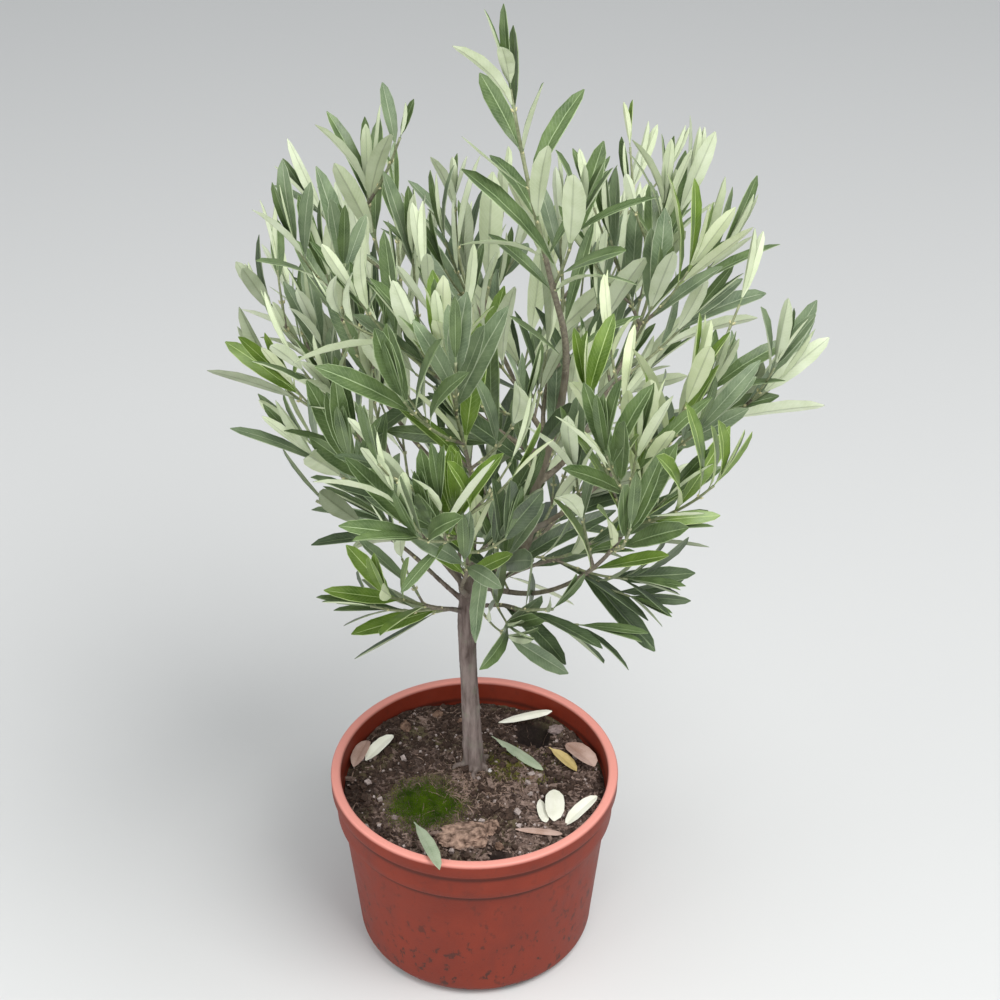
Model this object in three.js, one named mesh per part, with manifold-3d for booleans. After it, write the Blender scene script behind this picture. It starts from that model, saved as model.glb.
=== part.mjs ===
import * as THREE from 'three';
import { mergeVertices } from 'three/addons/utils/BufferGeometryUtils.js';
import Module from 'manifold-3d';

// A young olive tree on a short clear stem, growing in a round plastic nursery pot.
// Millimetres, +Z up. The origin is the centre of the pot's flat underside.

const wasm = await Module();
wasm.setup();

// Clearance between any two pieces that meet
const JOINT_GAP = 0.3;

// Pot: one moulded wall with a rolled rim and two shallow steps below it
const POT_HEIGHT = 154;
const RIM_RADIUS = 110;
const RIM_BAND = 12;
const RIM_LIP = 9;
const LIP_ROUND = 2.4;
const COLLAR_RADIUS = 106.6;
const COLLAR_BAND = 24;
const BAND_DRAFT = 0.8;
const STEP_SLOPE = 1.5;
const SHOULDER_DEPTH = 4;
const WALL_TOP_RADIUS = 102;
const WALL_FOOT_RADIUS = 87.5;
const FOOT_ROUND = 9;
const WALL = 2.2;
const FLOOR = 3;
const FLOOR_CORNER = 5;
const POT_SIDES = 36;
const DRAIN_SLOTS = 6;
const DRAIN_WIDTH = 11;
const DRAIN_HEIGHT = 6.5;
const DRAIN_DEPTH = 12;
const FIRST_DRAIN = -75;

// Compost: fills the pot to well below the rim and dips towards the wall
const SOIL_TOP = 132;
const SOIL_DIP = 4;
const SOIL_FLAT_RADIUS = 55;
const SOIL_INSET = 0.4;

// Trunk: stations of place, height above the compost and radius, and its root flare
const TRUNK_BASE = new THREE.Vector3(0, 22, SOIL_TOP);
const FORK_RISE = 192;
const TRUNK_STATIONS = [
  [0, 0, -6, 8.4], [-3, -1, 70, 7.4], [-5, -2, 126, 6.6], [-4, -3, 168, 6.9], [4, -6, FORK_RISE, 5.6],
];
const ROOT_FLARE = 3.8;
const ROOT_FLARE_HEIGHT = 22;
const FLARE_LOBES = 5;
const FLARE_LOBE_DEPTH = 0.35;
const TRUNK_SIDES = 12;
const TRUNK_STEPS = 12;

// Leader: the trunk's last stretch, which carries the upper shoots and ends in the top mass
const LEADER_STATIONS = [
  [4, 16, 324.4, 5.2], [24, 8, 344, 4.9], [38, -2, 366, 4.4], [44, -9, 416, 3.9],
  [60, -18, 490, 3.2], [63, -20, 541, 2.8], [52, -18, 592, 2.4], [36, -11, 664, 1.8], [26, -5, 718, 1.1],
];
const LEADER_BARE_SHARE = 0.5;
const LEADER_SIDES = 7;
const LEADER_STEPS = 9;

// Shoots: each is one limb that leaves its carrier, sweeps out and rises to its tip.
// Heights are above the pot's underside, bearings are turned from +X towards +Y.
// Below the fork a shoot's carrier is the trunk, above it the leader.
// bow and lift place the bend: how much of the way out, and of the rise, it has made.
// bare is the share of the limb that is a bough, before it enters its mass of foliage.
const SHOOTS = [
  { name: 'front_right', from: 316, bearing: -49, reach: 172, top: 522, bow: 0.9, lift: 0.24, bare: 0.46 },
  { name: 'right', from: 378, bearing: -17, reach: 162, top: 505, bow: 0.5, lift: 0.38, bare: 0.3 },
  { name: 'high_right', from: 425, bearing: 17, reach: 136, top: 600, bow: 0.8, lift: 0.08, bare: 0.3 },
  { name: 'upper_left', from: 398, bearing: 184, reach: 96, top: 576, bow: 0.8, lift: 0.2, bare: 0.3 },
  { name: 'high_left', from: 446, bearing: 148, reach: 82, top: 610, bow: 0.95, lift: 0.2, bare: 0.34 },
  { name: 'left', from: 308, bearing: 208, reach: 104, top: 506, bow: 0.55, lift: 0.42, bare: 0.3 },
  { name: 'front_middle', from: 366, bearing: 258, reach: 84, top: 560, bow: 0.75, lift: 0.26, bare: 0.3 },
  { name: 'front', from: 304, bearing: 266, reach: 138, top: 476, bow: 0.55, lift: 0.36, bare: 0.34 },
  { name: 'low_front_left', from: 288, bearing: 238, reach: 110, top: 372, bow: 0.5, lift: 0.5, bare: 0.26 },
  { name: 'low_front_right', from: 294, bearing: -62, reach: 118, top: 370, bow: 0.5, lift: 0.5, bare: 0.26 },
  { name: 'low_right', from: 301, bearing: -16, reach: 122, top: 385, bow: 0.5, lift: 0.66, bare: 0.26 },
  { name: 'low_left', from: 296, bearing: 180, reach: 112, top: 388, bow: 0.45, lift: 0.62, bare: 0.26 },
  { name: 'high_back', from: 462, bearing: 100, reach: 66, top: 596, bow: 0.9, lift: 0.22, bare: 0.3 },
  { name: 'back', from: 310, bearing: 92, reach: 132, top: 500, bow: 0.6, lift: 0.34, bare: 0.3 },
  { name: 'back_left', from: 302, bearing: 133, reach: 132, top: 470, bow: 0.6, lift: 0.34, bare: 0.3 },
  { name: 'back_right', from: 356, bearing: 50, reach: 142, top: 480, bow: 0.6, lift: 0.34, bare: 0.3 },
  { name: 'high_back_right', from: 440, bearing: 56, reach: 112, top: 570, bow: 0.7, lift: 0.2, bare: 0.3 },
  { name: 'low_back', from: 290, bearing: 104, reach: 104, top: 372, bow: 0.5, lift: 0.5, bare: 0.26 },
  { name: 'low_back_right', from: 297, bearing: 30, reach: 118, top: 380, bow: 0.5, lift: 0.5, bare: 0.26 },
  { name: 'far_left', from: 315, bearing: 162, reach: 114, top: 506, bow: 0.65, lift: 0.36, bare: 0.32 },
];
const CROWN_CENTRE = new THREE.Vector3(0, 20, 0);
const BOUGH_RADIUS_FOOT = 2.9;
const BOUGH_RADIUS_END = 1.9;
const BOUGH_SIDES = 5;
const BOUGH_STEPS = 5;
const LIMB_SWAY = 5;

// Twigs: where leaves and side twigs stand on them, and how thick they are
const NODE_SPACING = 26;
const SPACING_SPREAD = 0.2;
const TURN_SPREAD = 0.5;
const SIDE_TWIG_CHANCE = 0.6;
const TOP_TWIG_CHANCE = 0.12;
const SIDE_TWIG_ANGLE = 44;
const SIDE_TWIG_NODES = 3;
const SIDE_TWIG_MORE_NODES = 1.6;
const SIDE_TWIG_LIFT = 0.16;
const SIDE_TWIG_OFFSET = 3.2;
const SIDE_TWIG_YOUTH = 0.25;
const TWIG_RADIUS_ROOT = 0.9;
const TWIG_RADIUS = 1.75;
const STEM_SWELL = 0.3;
const TWIG_SIDES = 3;

// Leaves: lance-shaped, keeled below, arched away from the twig's tip, smaller near the tip
const LEAF_LENGTH = 72;
const LEAF_LENGTH_SPREAD = 0.24;
const LEAF_WIDTH = 15;
const LEAF_THICKNESS = 1.5;
const LEAF_WIDEST = 0.46;
const LEAF_ROOT_SUNK = 0.9;
const LEAF_TIP_SIZE = 0.62;
const LEAF_ANGLE_FOOT = 56;
const LEAF_ANGLE_TIP = 24;
const LEAF_ANGLE_SPREAD = 16;
const LEAF_ROLL_SPREAD = 34;
const LEAF_ARCH = 0.18;

// A leaf that doesn't fit is tried smaller and closer to the twig before it is left out
const LEAF_TRIALS = [
  { size: 1, fold: 1 },
  { size: 0.86, fold: 0.75 },
  { size: 0.72, fold: 0.6 },
  { size: 0.6, fold: 1.2 },
];
const LEAF_SAMPLES = [[0.3, 0.5], [0.45, 0.95], [0.6, 0.6], [0.75, 0.4], [0.88, 0], [1, 0]];
const FEWEST_LEAVES = 2;
const LEAF_CLEARANCE = 5;
const TWIG_CLEARANCE = 4;
const TWIG_APART = 9;
const LIMB_CLEARANCE = 1.5;
const SPACE_CLEARANCE = 1.6;
const CHAIN_STEPS = 8;

const UP = new THREE.Vector3(0, 0, 1);
const BOTH_SIDES = [0, Math.PI];
const radians = THREE.MathUtils.degToRad;
const lerp = THREE.MathUtils.lerp;

// A repeatable stream of numbers from 0 to 1
function drawsFrom(seed) {
  let state = (seed * 2654435761) % 4294967296;
  return () => {
    state = (Math.imul(state, 1664525) + 1013904223) >>> 0;
    return state / 4294967296;
  };
}

// Closed meshes become solids for joining and cutting, and come back as geometry

function solidFrom(geometry) {
  geometry.deleteAttribute('normal');
  geometry.deleteAttribute('uv');
  const merged = mergeVertices(geometry, 1e-4);
  const corners = merged.index.array;
  const kept = [];
  for (let i = 0; i < corners.length; i += 3) {
    const [a, b, c] = corners.slice(i, i + 3);
    if (a !== b && b !== c && c !== a) kept.push(a, b, c);
  }
  return new wasm.Manifold(new wasm.Mesh({
    numProp: 3,
    vertProperties: new Float32Array(merged.getAttribute('position').array),
    triVerts: new Uint32Array(kept),
  }));
}

// A bent shape may come out inside out, which turning its faces round mends
function outwardSolid(geometry) {
  const solid = solidFrom(geometry);
  if (solid.volume() > 0) return solid;
  geometry.setIndex(Array.from(geometry.index.array).reverse());
  return solidFrom(geometry);
}

function geometryFrom(solid) {
  const mesh = solid.getMesh();
  const geometry = new THREE.BufferGeometry();
  geometry.setAttribute('position', new THREE.BufferAttribute(new Float32Array(mesh.vertProperties), 3));
  geometry.setIndex(new THREE.BufferAttribute(new Uint32Array(mesh.triVerts), 1));
  geometry.computeVertexNormals();
  return geometry;
}

// The largest shell alone, so that loose scraps go and sealed hollows are filled
function largestShell(solid) {
  return solid.decompose().reduce((best, shell) => (shell.volume() > best.volume() ? shell : best));
}

// A turned tapering rod, bent along a path
function rodAlong(path, radiusAt, sides, steps) {
  const profile = [new THREE.Vector2(0, 0)];
  for (let i = 0; i <= steps; i += 1) profile.push(new THREE.Vector2(1, i));
  profile.push(new THREE.Vector2(0, steps));
  const rod = new THREE.LatheGeometry(profile, sides);
  const frames = path.computeFrenetFrames(steps, false);
  const corners = rod.getAttribute('position');
  for (let i = 0; i < corners.count; i += 1) {
    const ring = Math.round(corners.getY(i));
    const around = Math.atan2(corners.getX(i), corners.getZ(i));
    const radius = Math.hypot(corners.getX(i), corners.getZ(i)) * radiusAt(ring / steps, around);
    const point = path.getPointAt(ring / steps)
      .addScaledVector(frames.normals[ring], Math.cos(around) * radius)
      .addScaledVector(frames.binormals[ring], Math.sin(around) * radius);
    corners.setXYZ(i, point.x, point.y, point.z);
  }
  return outwardSolid(rod);
}

// Part of a path, from one share of its length to another
class Stretch extends THREE.Curve {
  constructor(path, start, end) {
    super();
    Object.assign(this, { path, start, end });
  }

  getPoint(share) {
    return this.path.getPointAt(lerp(this.start, this.end, share));
  }
}

// A shoot's line: one bend from carrier to tip, with a slight sideways sway
class ShootLine extends THREE.Curve {
  constructor(foot, tip, bow, lift, phase) {
    super();
    const bend = foot.clone().lerp(tip, bow).setZ(lerp(foot.z, tip.z, lift));
    this.bend = new THREE.QuadraticBezierCurve3(foot, bend, tip);
    this.side = new THREE.Vector3().subVectors(tip, foot).cross(UP).normalize();
    this.phase = phase;
  }

  getPoint(share) {
    const sway = LIMB_SWAY * Math.sin(2 * Math.PI * share + this.phase) * 4 * share * (1 - share);
    return this.bend.getPoint(share).addScaledVector(this.side, sway);
  }
}

function smoothPath(points) {
  return new THREE.CatmullRomCurve3(points, false, 'catmullrom', 0.5);
}

function limbThrough(stations, base) {
  const path = smoothPath(stations.map(([x, y, z]) => new THREE.Vector3(x, y, z).add(base)));
  const radiusAt = (share) => {
    const place = share * (stations.length - 1);
    const below = Math.min(Math.floor(place), stations.length - 2);
    return lerp(stations[below][3], stations[below + 1][3], place - below);
  };
  return { path, radiusAt };
}

// The point of a rising path at a given height
function pointAtHeight(path, height) {
  let low = 0;
  let high = 1;
  while (high - low > 1e-6) {
    const middle = (low + high) / 2;
    if (path.getPointAt(middle).z < height) low = middle;
    else high = middle;
  }
  return path.getPointAt(low);
}

// Pot and compost

const bandFoot = POT_HEIGHT - RIM_BAND;
const collarFoot = bandFoot - COLLAR_BAND;
const shoulder = collarFoot - SHOULDER_DEPTH;

function wallRadiusAt(height) {
  return lerp(WALL_FOOT_RADIUS, WALL_TOP_RADIUS, height / collarFoot);
}

function arcPoints(centreX, centreY, radius, startDegrees, endDegrees, steps) {
  return Array.from({ length: steps + 1 }, (_, i) => {
    const angle = radians(lerp(startDegrees, endDegrees, i / steps));
    return new THREE.Vector2(centreX + radius * Math.cos(angle), centreY + radius * Math.sin(angle));
  });
}

function turned(profile) {
  return solidFrom(new THREE.LatheGeometry(profile, POT_SIDES).rotateX(Math.PI / 2));
}

function makePot() {
  const lipInner = RIM_RADIUS - RIM_LIP;
  const lipCentre = POT_HEIGHT - LIP_ROUND;
  let pot = turned([
    new THREE.Vector2(0, 0),
    ...arcPoints(wallRadiusAt(FOOT_ROUND) - FOOT_ROUND, FOOT_ROUND, FOOT_ROUND, -90, -7, 3),
    new THREE.Vector2(wallRadiusAt(collarFoot - STEP_SLOPE), collarFoot - STEP_SLOPE),
    new THREE.Vector2(COLLAR_RADIUS - BAND_DRAFT, collarFoot),
    new THREE.Vector2(COLLAR_RADIUS, bandFoot - STEP_SLOPE),
    new THREE.Vector2(RIM_RADIUS - BAND_DRAFT, bandFoot),
    ...arcPoints(RIM_RADIUS - LIP_ROUND, lipCentre, LIP_ROUND, 0, 90, 2),
    ...arcPoints(lipInner + LIP_ROUND, lipCentre, LIP_ROUND, 90, 180, 2),
    new THREE.Vector2(wallRadiusAt(shoulder) - WALL, shoulder),
    new THREE.Vector2(wallRadiusAt(FOOT_ROUND) - WALL, FOOT_ROUND),
    new THREE.Vector2(wallRadiusAt(FLOOR) - WALL - FLOOR_CORNER, FLOOR),
    new THREE.Vector2(0, FLOOR),
  ]);
  for (let i = 0; i < DRAIN_SLOTS; i += 1) {
    const slot = new THREE.BoxGeometry(DRAIN_DEPTH * 2, DRAIN_WIDTH, DRAIN_HEIGHT * 2)
      .translate(wallRadiusAt(0), 0, 0)
      .rotateZ(radians(FIRST_DRAIN + i * 360 / DRAIN_SLOTS));
    pot = pot.subtract(solidFrom(slot));
  }
  return pot;
}

function makeSoil() {
  const inset = WALL + SOIL_INSET;
  return turned([
    new THREE.Vector2(0, FLOOR + JOINT_GAP),
    new THREE.Vector2(wallRadiusAt(FLOOR) - inset - FLOOR_CORNER, FLOOR + JOINT_GAP),
    new THREE.Vector2(wallRadiusAt(FOOT_ROUND) - inset, FOOT_ROUND + JOINT_GAP),
    new THREE.Vector2(wallRadiusAt(shoulder) - inset, shoulder),
    new THREE.Vector2(wallRadiusAt(shoulder) - inset, SOIL_TOP - SOIL_DIP),
    new THREE.Vector2(SOIL_FLAT_RADIUS, SOIL_TOP),
    new THREE.Vector2(0, SOIL_TOP),
  ]);
}

// Trunk, leader and boughs

const trunk = limbThrough(TRUNK_STATIONS, TRUNK_BASE);
const leader = limbThrough(LEADER_STATIONS, new THREE.Vector3());
const trunkLength = trunk.path.getLength();

function trunkRadius(share, around) {
  const flare = Math.max(0, 1 - share * trunkLength / ROOT_FLARE_HEIGHT) ** 2;
  const lobes = 1 + FLARE_LOBE_DEPTH * Math.cos(FLARE_LOBES * around);
  return trunk.radiusAt(share) + ROOT_FLARE * flare * lobes;
}

// The trunk's foot is cut flat, level with the compost
function makeTrunk(extra) {
  const radiusAt = (share, around) => trunkRadius(share, around) + extra;
  const rod = rodAlong(trunk.path, radiusAt, TRUNK_SIDES, TRUNK_STEPS);
  const below = new THREE.BoxGeometry(RIM_RADIUS, RIM_RADIUS, SOIL_TOP)
    .translate(TRUNK_BASE.x, TRUNK_BASE.y, SOIL_TOP / 2 + JOINT_GAP);
  return rod.subtract(solidFrom(below));
}

const bareLeader = new Stretch(leader.path, 0, LEADER_BARE_SHARE);

function makeLeader(extra) {
  const radiusAt = (share) => leader.radiusAt(share * LEADER_BARE_SHARE) + extra;
  return rodAlong(bareLeader, radiusAt, LEADER_SIDES, LEADER_STEPS);
}

SHOOTS.forEach((shoot, index) => {
  shoot.onTrunk = shoot.from < SOIL_TOP + FORK_RISE;
  const foot = pointAtHeight(shoot.onTrunk ? trunk.path : leader.path, shoot.from);
  const turn = radians(shoot.bearing);
  const tip = new THREE.Vector3(Math.cos(turn) * shoot.reach, Math.sin(turn) * shoot.reach, shoot.top);
  shoot.line = new ShootLine(foot, tip.add(CROWN_CENTRE), shoot.bow, shoot.lift, index);
});

function makeBough(shoot, grownCarrier) {
  const stem = new Stretch(shoot.line, 0, shoot.bare);
  const radiusAt = (share) => lerp(BOUGH_RADIUS_FOOT, BOUGH_RADIUS_END, share);
  return largestShell(rodAlong(stem, radiusAt, BOUGH_SIDES, BOUGH_STEPS).subtract(grownCarrier));
}

// Each mass grows along its own line, from the end of its bough to its tip
const masses = [
  {
    name: 'top',
    line: new Stretch(leader.path, LEADER_BARE_SHARE + JOINT_GAP / leader.path.getLength(), 1),
    foot: leader.radiusAt(LEADER_BARE_SHARE),
    chance: TOP_TWIG_CHANCE,
  },
  ...SHOOTS.map((shoot) => ({
    name: shoot.name,
    line: new Stretch(shoot.line, shoot.bare + JOINT_GAP / shoot.line.getLength(), 1),
    foot: BOUGH_RADIUS_END,
    chance: SIDE_TWIG_CHANCE,
  })),
];

// A mass keeps to the space that is nearer to its own line than to any other, clear of the limbs

function distanceToChain(point, chain) {
  const segment = new THREE.Line3();
  const nearest = new THREE.Vector3();
  let best = Infinity;
  for (let i = 1; i < chain.length; i += 1) {
    segment.set(chain[i - 1], chain[i]).closestPointToPoint(point, true, nearest);
    best = Math.min(best, nearest.distanceTo(point));
  }
  return best;
}

const spaceChains = masses.map((mass) => mass.line.getPoints(CHAIN_STEPS));
const limbChains = [
  { chain: trunk.path.getPoints(CHAIN_STEPS), radius: trunk.radiusAt(0) },
  { chain: bareLeader.getPoints(CHAIN_STEPS), radius: leader.radiusAt(0) },
  ...SHOOTS.map((shoot) => ({
    chain: new Stretch(shoot.line, 0, shoot.bare).getPoints(CHAIN_STEPS),
    radius: BOUGH_RADIUS_FOOT,
  })),
];

function insideSpace(massIndex, point) {
  const margin = distanceToChain(point, spaceChains[massIndex]) + SPACE_CLEARANCE;
  return spaceChains.every((chain, i) => i === massIndex || distanceToChain(point, chain) > margin)
    && limbChains.every(({ chain, radius }) => distanceToChain(point, chain) > radius + LIMB_CLEARANCE);
}

// Twigs: the nodes where leaves stand in opposite pairs, each a quarter turn from the last
function stationsAlong(line, draw) {
  const length = line.getLength();
  const shares = [];
  let run = NODE_SPACING * (0.5 + 0.3 * draw());
  while (run < length - NODE_SPACING / 3) {
    shares.push(run / length);
    run += NODE_SPACING * (1 + (draw() - 0.5) * SPACING_SPREAD);
  }
  shares.push(1);
  const startTurn = draw() * Math.PI;
  return shares.map((share, i) => {
    const along = line.getTangentAt(share);
    const side = new THREE.Vector3().crossVectors(along, UP).normalize();
    const turn = startTurn + i * Math.PI / 2 + (draw() - 0.5) * TURN_SPREAD;
    return { point: line.getPointAt(share), along, side, turn, growth: i / (shares.length - 1) };
  });
}

// The way that leads off a node, turned round the twig and spread from it
function wayOff(station, turn, spread) {
  const outward = station.side.clone().applyAxisAngle(station.along, turn);
  return station.along.clone().multiplyScalar(Math.cos(spread)).addScaledVector(outward, Math.sin(spread));
}

// A side twig leaves a node at an angle and turns up towards the light
function sideTwigPoints(station, turn, draw) {
  const way = wayOff(station, turn, radians(SIDE_TWIG_ANGLE));
  const points = [station.point.clone().addScaledVector(station.along, SIDE_TWIG_OFFSET)];
  const count = SIDE_TWIG_NODES + Math.floor(draw() * SIDE_TWIG_MORE_NODES);
  for (let i = 0; i < count; i += 1) {
    way.addScaledVector(UP, SIDE_TWIG_LIFT).normalize();
    points.push(points[i].clone().addScaledVector(way, NODE_SPACING * (0.75 + 0.2 * draw())));
  }
  return points;
}

function nearAny(point, chains, distance) {
  return chains.some((chain) => distanceToChain(point, chain) < distance);
}

function twigFits(massIndex, points, twigChains) {
  return points.slice(1).every((point) => insideSpace(massIndex, point))
    && !points.slice(2).some((point) => nearAny(point, twigChains, TWIG_APART));
}

function leafAt(station, turn, growth, luck, trial) {
  const angle = lerp(LEAF_ANGLE_FOOT, LEAF_ANGLE_TIP, growth) + (luck[0] - 0.5) * LEAF_ANGLE_SPREAD;
  const along = wayOff(station, turn, radians(angle * trial.fold));
  const face = station.along.clone().addScaledVector(along, -station.along.dot(along)).normalize();
  face.applyAxisAngle(along, radians((luck[1] - 0.5) * LEAF_ROLL_SPREAD));
  const chance = 1 + (luck[2] - 0.5) * LEAF_LENGTH_SPREAD;
  const vigour = lerp(1, LEAF_TIP_SIZE, growth ** 2) * chance * trial.size;
  const width = LEAF_WIDTH * (0.4 + 0.6 * vigour);
  return { root: station.point, along, face, length: LEAF_LENGTH * vigour, width };
}

function leafPoint(leaf, share) {
  const arch = -LEAF_ARCH * leaf.length * share * share;
  return leaf.root.clone().addScaledVector(leaf.along, leaf.length * share).addScaledVector(leaf.face, arch);
}

// A leaf doesn't fit where it would leave its space, or meet a limb, a twig or another leaf
function leafFits(massIndex, leaf, twigChains, placed) {
  const across = new THREE.Vector3().crossVectors(leaf.along, leaf.face);
  const samples = LEAF_SAMPLES.flatMap(([share, reach]) => [reach, -reach].map((half) => (
    leafPoint(leaf, share).addScaledVector(across, half * leaf.width / 2)
  )));
  if (!samples.every((point) => insideSpace(massIndex, point))) return false;
  if (samples.some((point) => nearAny(point, twigChains, TWIG_CLEARANCE))) return false;
  if (samples.some((point) => placed.some((other) => other.distanceTo(point) < LEAF_CLEARANCE))) return false;
  placed.push(...samples);
  return true;
}

function growTwigs(mass, massIndex) {
  const stations = stationsAlong(mass.line, drawsFrom(massIndex * 100 + 1));
  const twigs = [{ line: mass.line, stations, youth: 0 }];
  const chains = [spaceChains[massIndex]];
  stations.slice(0, -1).forEach((station, i) => BOTH_SIDES.forEach((opposite, j) => {
    const draw = drawsFrom(massIndex * 100 + 10 + i * 2 + j);
    const points = sideTwigPoints(station, station.turn + opposite, draw);
    if (draw() > mass.chance || !twigFits(massIndex, points, chains)) return;
    const line = smoothPath(points);
    twigs.push({ line, stations: stationsAlong(line, draw), youth: SIDE_TWIG_YOUTH });
    chains.push(points);
  }));
  return { twigs, chains };
}

function growMass(mass, massIndex) {
  const { twigs, chains } = growTwigs(mass, massIndex);
  const placed = [];
  twigs.forEach((twig, i) => {
    const draw = drawsFrom(massIndex * 100 + 50 + i);
    twig.leaves = twig.stations.flatMap((station) => BOTH_SIDES.map((opposite) => {
      const growth = Math.max(station.growth, twig.youth);
      const luck = [draw(), draw(), draw()];
      return LEAF_TRIALS.map((trial) => leafAt(station, station.turn + opposite, growth, luck, trial))
        .find((leaf) => leafFits(massIndex, leaf, chains, placed));
    })).filter((leaf) => leaf);
  });
  return twigs.filter((twig, i) => i === 0 || twig.leaves.length >= FEWEST_LEAVES);
}

// A blade with a flat face and a keel below it, pointed at its sunk root and at its tip
function makeLeaf(leaf) {
  const blade = new THREE.LatheGeometry([[0, 0], [1, 1], [0, 2]].map(([r, y]) => new THREE.Vector2(r, y)), 3);
  const across = new THREE.Vector3().crossVectors(leaf.along, leaf.face);
  const corners = blade.getAttribute('position');
  const shares = [-LEAF_ROOT_SUNK / leaf.length, LEAF_WIDEST, 1];
  for (let i = 0; i < corners.count; i += 1) {
    const sideways = corners.getX(i) / Math.sin(radians(60)) * leaf.width / 2;
    const keel = corners.getZ(i) / 1.5 * LEAF_THICKNESS;
    const point = leafPoint(leaf, shares[Math.round(corners.getY(i))])
      .addScaledVector(across, sideways)
      .addScaledVector(leaf.face, -keel);
    corners.setXYZ(i, point.x, point.y, point.z);
  }
  return outwardSolid(blade);
}

function makeTwig(twig, isMain, foot) {
  const radiusAt = isMain
    ? (share) => lerp(foot + STEM_SWELL, TWIG_RADIUS, share)
    : (share) => lerp(TWIG_RADIUS_ROOT, TWIG_RADIUS, Math.min(1, share * 4));
  const steps = Math.max(2, Math.round(twig.line.getLength() / NODE_SPACING));
  return rodAlong(twig.line, radiusAt, TWIG_SIDES, steps);
}

function makeMass(mass, massIndex) {
  const solids = growMass(mass, massIndex).flatMap((twig, i) => [
    makeTwig(twig, i === 0, mass.foot),
    ...twig.leaves.map(makeLeaf),
  ]);
  return largestShell(wasm.Manifold.union(solids));
}

// Nodes

const finishes = {
  terracottaPlastic: { color: 0xb5583c, roughness: 0.62, metalness: 0 },
  compost: { color: 0x4a3a2c, roughness: 0.98, metalness: 0 },
  bark: { color: 0x85796c, roughness: 0.9, metalness: 0 },
  leaf: { color: 0x7d8f68, roughness: 0.6, metalness: 0 },
};

const group = new THREE.Group();

function addNode(name, solid, finish) {
  const mesh = new THREE.Mesh(geometryFrom(solid), new THREE.MeshStandardMaterial(finishes[finish]));
  mesh.name = name;
  group.add(mesh);
}

const trunkGrown = makeTrunk(JOINT_GAP);
const leaderGrown = makeLeader(JOINT_GAP);
addNode('pot', makePot(), 'terracottaPlastic');
addNode('soil', makeSoil(), 'compost');
addNode('trunk', makeTrunk(0), 'bark');
addNode('leader', largestShell(makeLeader(0).subtract(trunkGrown)), 'bark');
for (const shoot of SHOOTS) {
  addNode(`bough_${shoot.name}`, makeBough(shoot, shoot.onTrunk ? trunkGrown : leaderGrown), 'bark');
}
masses.forEach((mass, i) => addNode(`foliage_${mass.name}`, makeMass(mass, i), 'leaf'));

export default group;
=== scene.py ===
import math

import bpy
import numpy as np
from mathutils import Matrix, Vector, noise


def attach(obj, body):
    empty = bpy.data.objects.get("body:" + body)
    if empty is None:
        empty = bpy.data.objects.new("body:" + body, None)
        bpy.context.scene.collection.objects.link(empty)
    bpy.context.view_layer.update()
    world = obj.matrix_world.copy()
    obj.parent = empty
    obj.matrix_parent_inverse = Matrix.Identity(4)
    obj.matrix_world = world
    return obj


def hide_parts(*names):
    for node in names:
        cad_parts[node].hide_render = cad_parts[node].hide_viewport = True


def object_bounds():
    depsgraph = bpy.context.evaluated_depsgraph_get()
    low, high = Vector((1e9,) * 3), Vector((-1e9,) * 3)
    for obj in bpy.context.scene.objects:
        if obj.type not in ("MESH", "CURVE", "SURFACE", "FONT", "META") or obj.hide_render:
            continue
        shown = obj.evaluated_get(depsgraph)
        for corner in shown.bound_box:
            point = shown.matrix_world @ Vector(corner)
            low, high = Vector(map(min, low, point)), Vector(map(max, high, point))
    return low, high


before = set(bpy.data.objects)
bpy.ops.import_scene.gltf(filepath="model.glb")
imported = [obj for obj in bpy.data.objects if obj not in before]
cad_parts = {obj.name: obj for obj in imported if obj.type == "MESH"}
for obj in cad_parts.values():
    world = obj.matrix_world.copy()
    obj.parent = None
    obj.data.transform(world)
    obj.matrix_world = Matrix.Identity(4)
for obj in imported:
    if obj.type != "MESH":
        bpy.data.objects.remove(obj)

cad_box = [[float(x) for x in corner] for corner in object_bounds()]

# Pot
# A thin injection-moulded nursery pot in terracotta-coloured plastic: one wall with a rolled rim,
# two steps below it and a rounded foot with drainage notches. It stands loose and holds the compost.
POT_HEIGHT = 0.154
POT_SIDES = 144
WALL = 0.0022
WALL_FOOT = 0.0902
WALL_TOP = 0.102
COLLAR_FOOT = 0.118
COLLAR = 0.1066
RIM = 0.110
LIP = 0.0076
LIP_ROUND = 0.0024
FOOT_ROUND = 0.012
POT_FLOOR = 0.003
SHOULDER = 0.112
CENTRE_DISC = 0.004
NOTCHES = 6
FIRST_NOTCH = -72
NOTCH_PLACE = 0.080
NOTCH_SIZE = (0.028, 0.011, 0.013)
NOTCH_ROUND = 0.002
# Heights of the painted shadow under the two steps, and of the painted highlight on the top of the rim
STEP_SHADOWS = (0.1366, 0.1130)
RIM_HIGHLIGHT = (0.1512, 0.1536)


def wall_radius(height):
    return WALL_FOOT + (WALL_TOP - WALL_FOOT) * height / COLLAR_FOOT


def arc(centre_radius, centre_height, radius, start, end, steps):
    angles = np.radians(np.linspace(start, end, steps + 1))
    return [(centre_radius + radius * math.cos(a), centre_height + radius * math.sin(a)) for a in angles]


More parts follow.
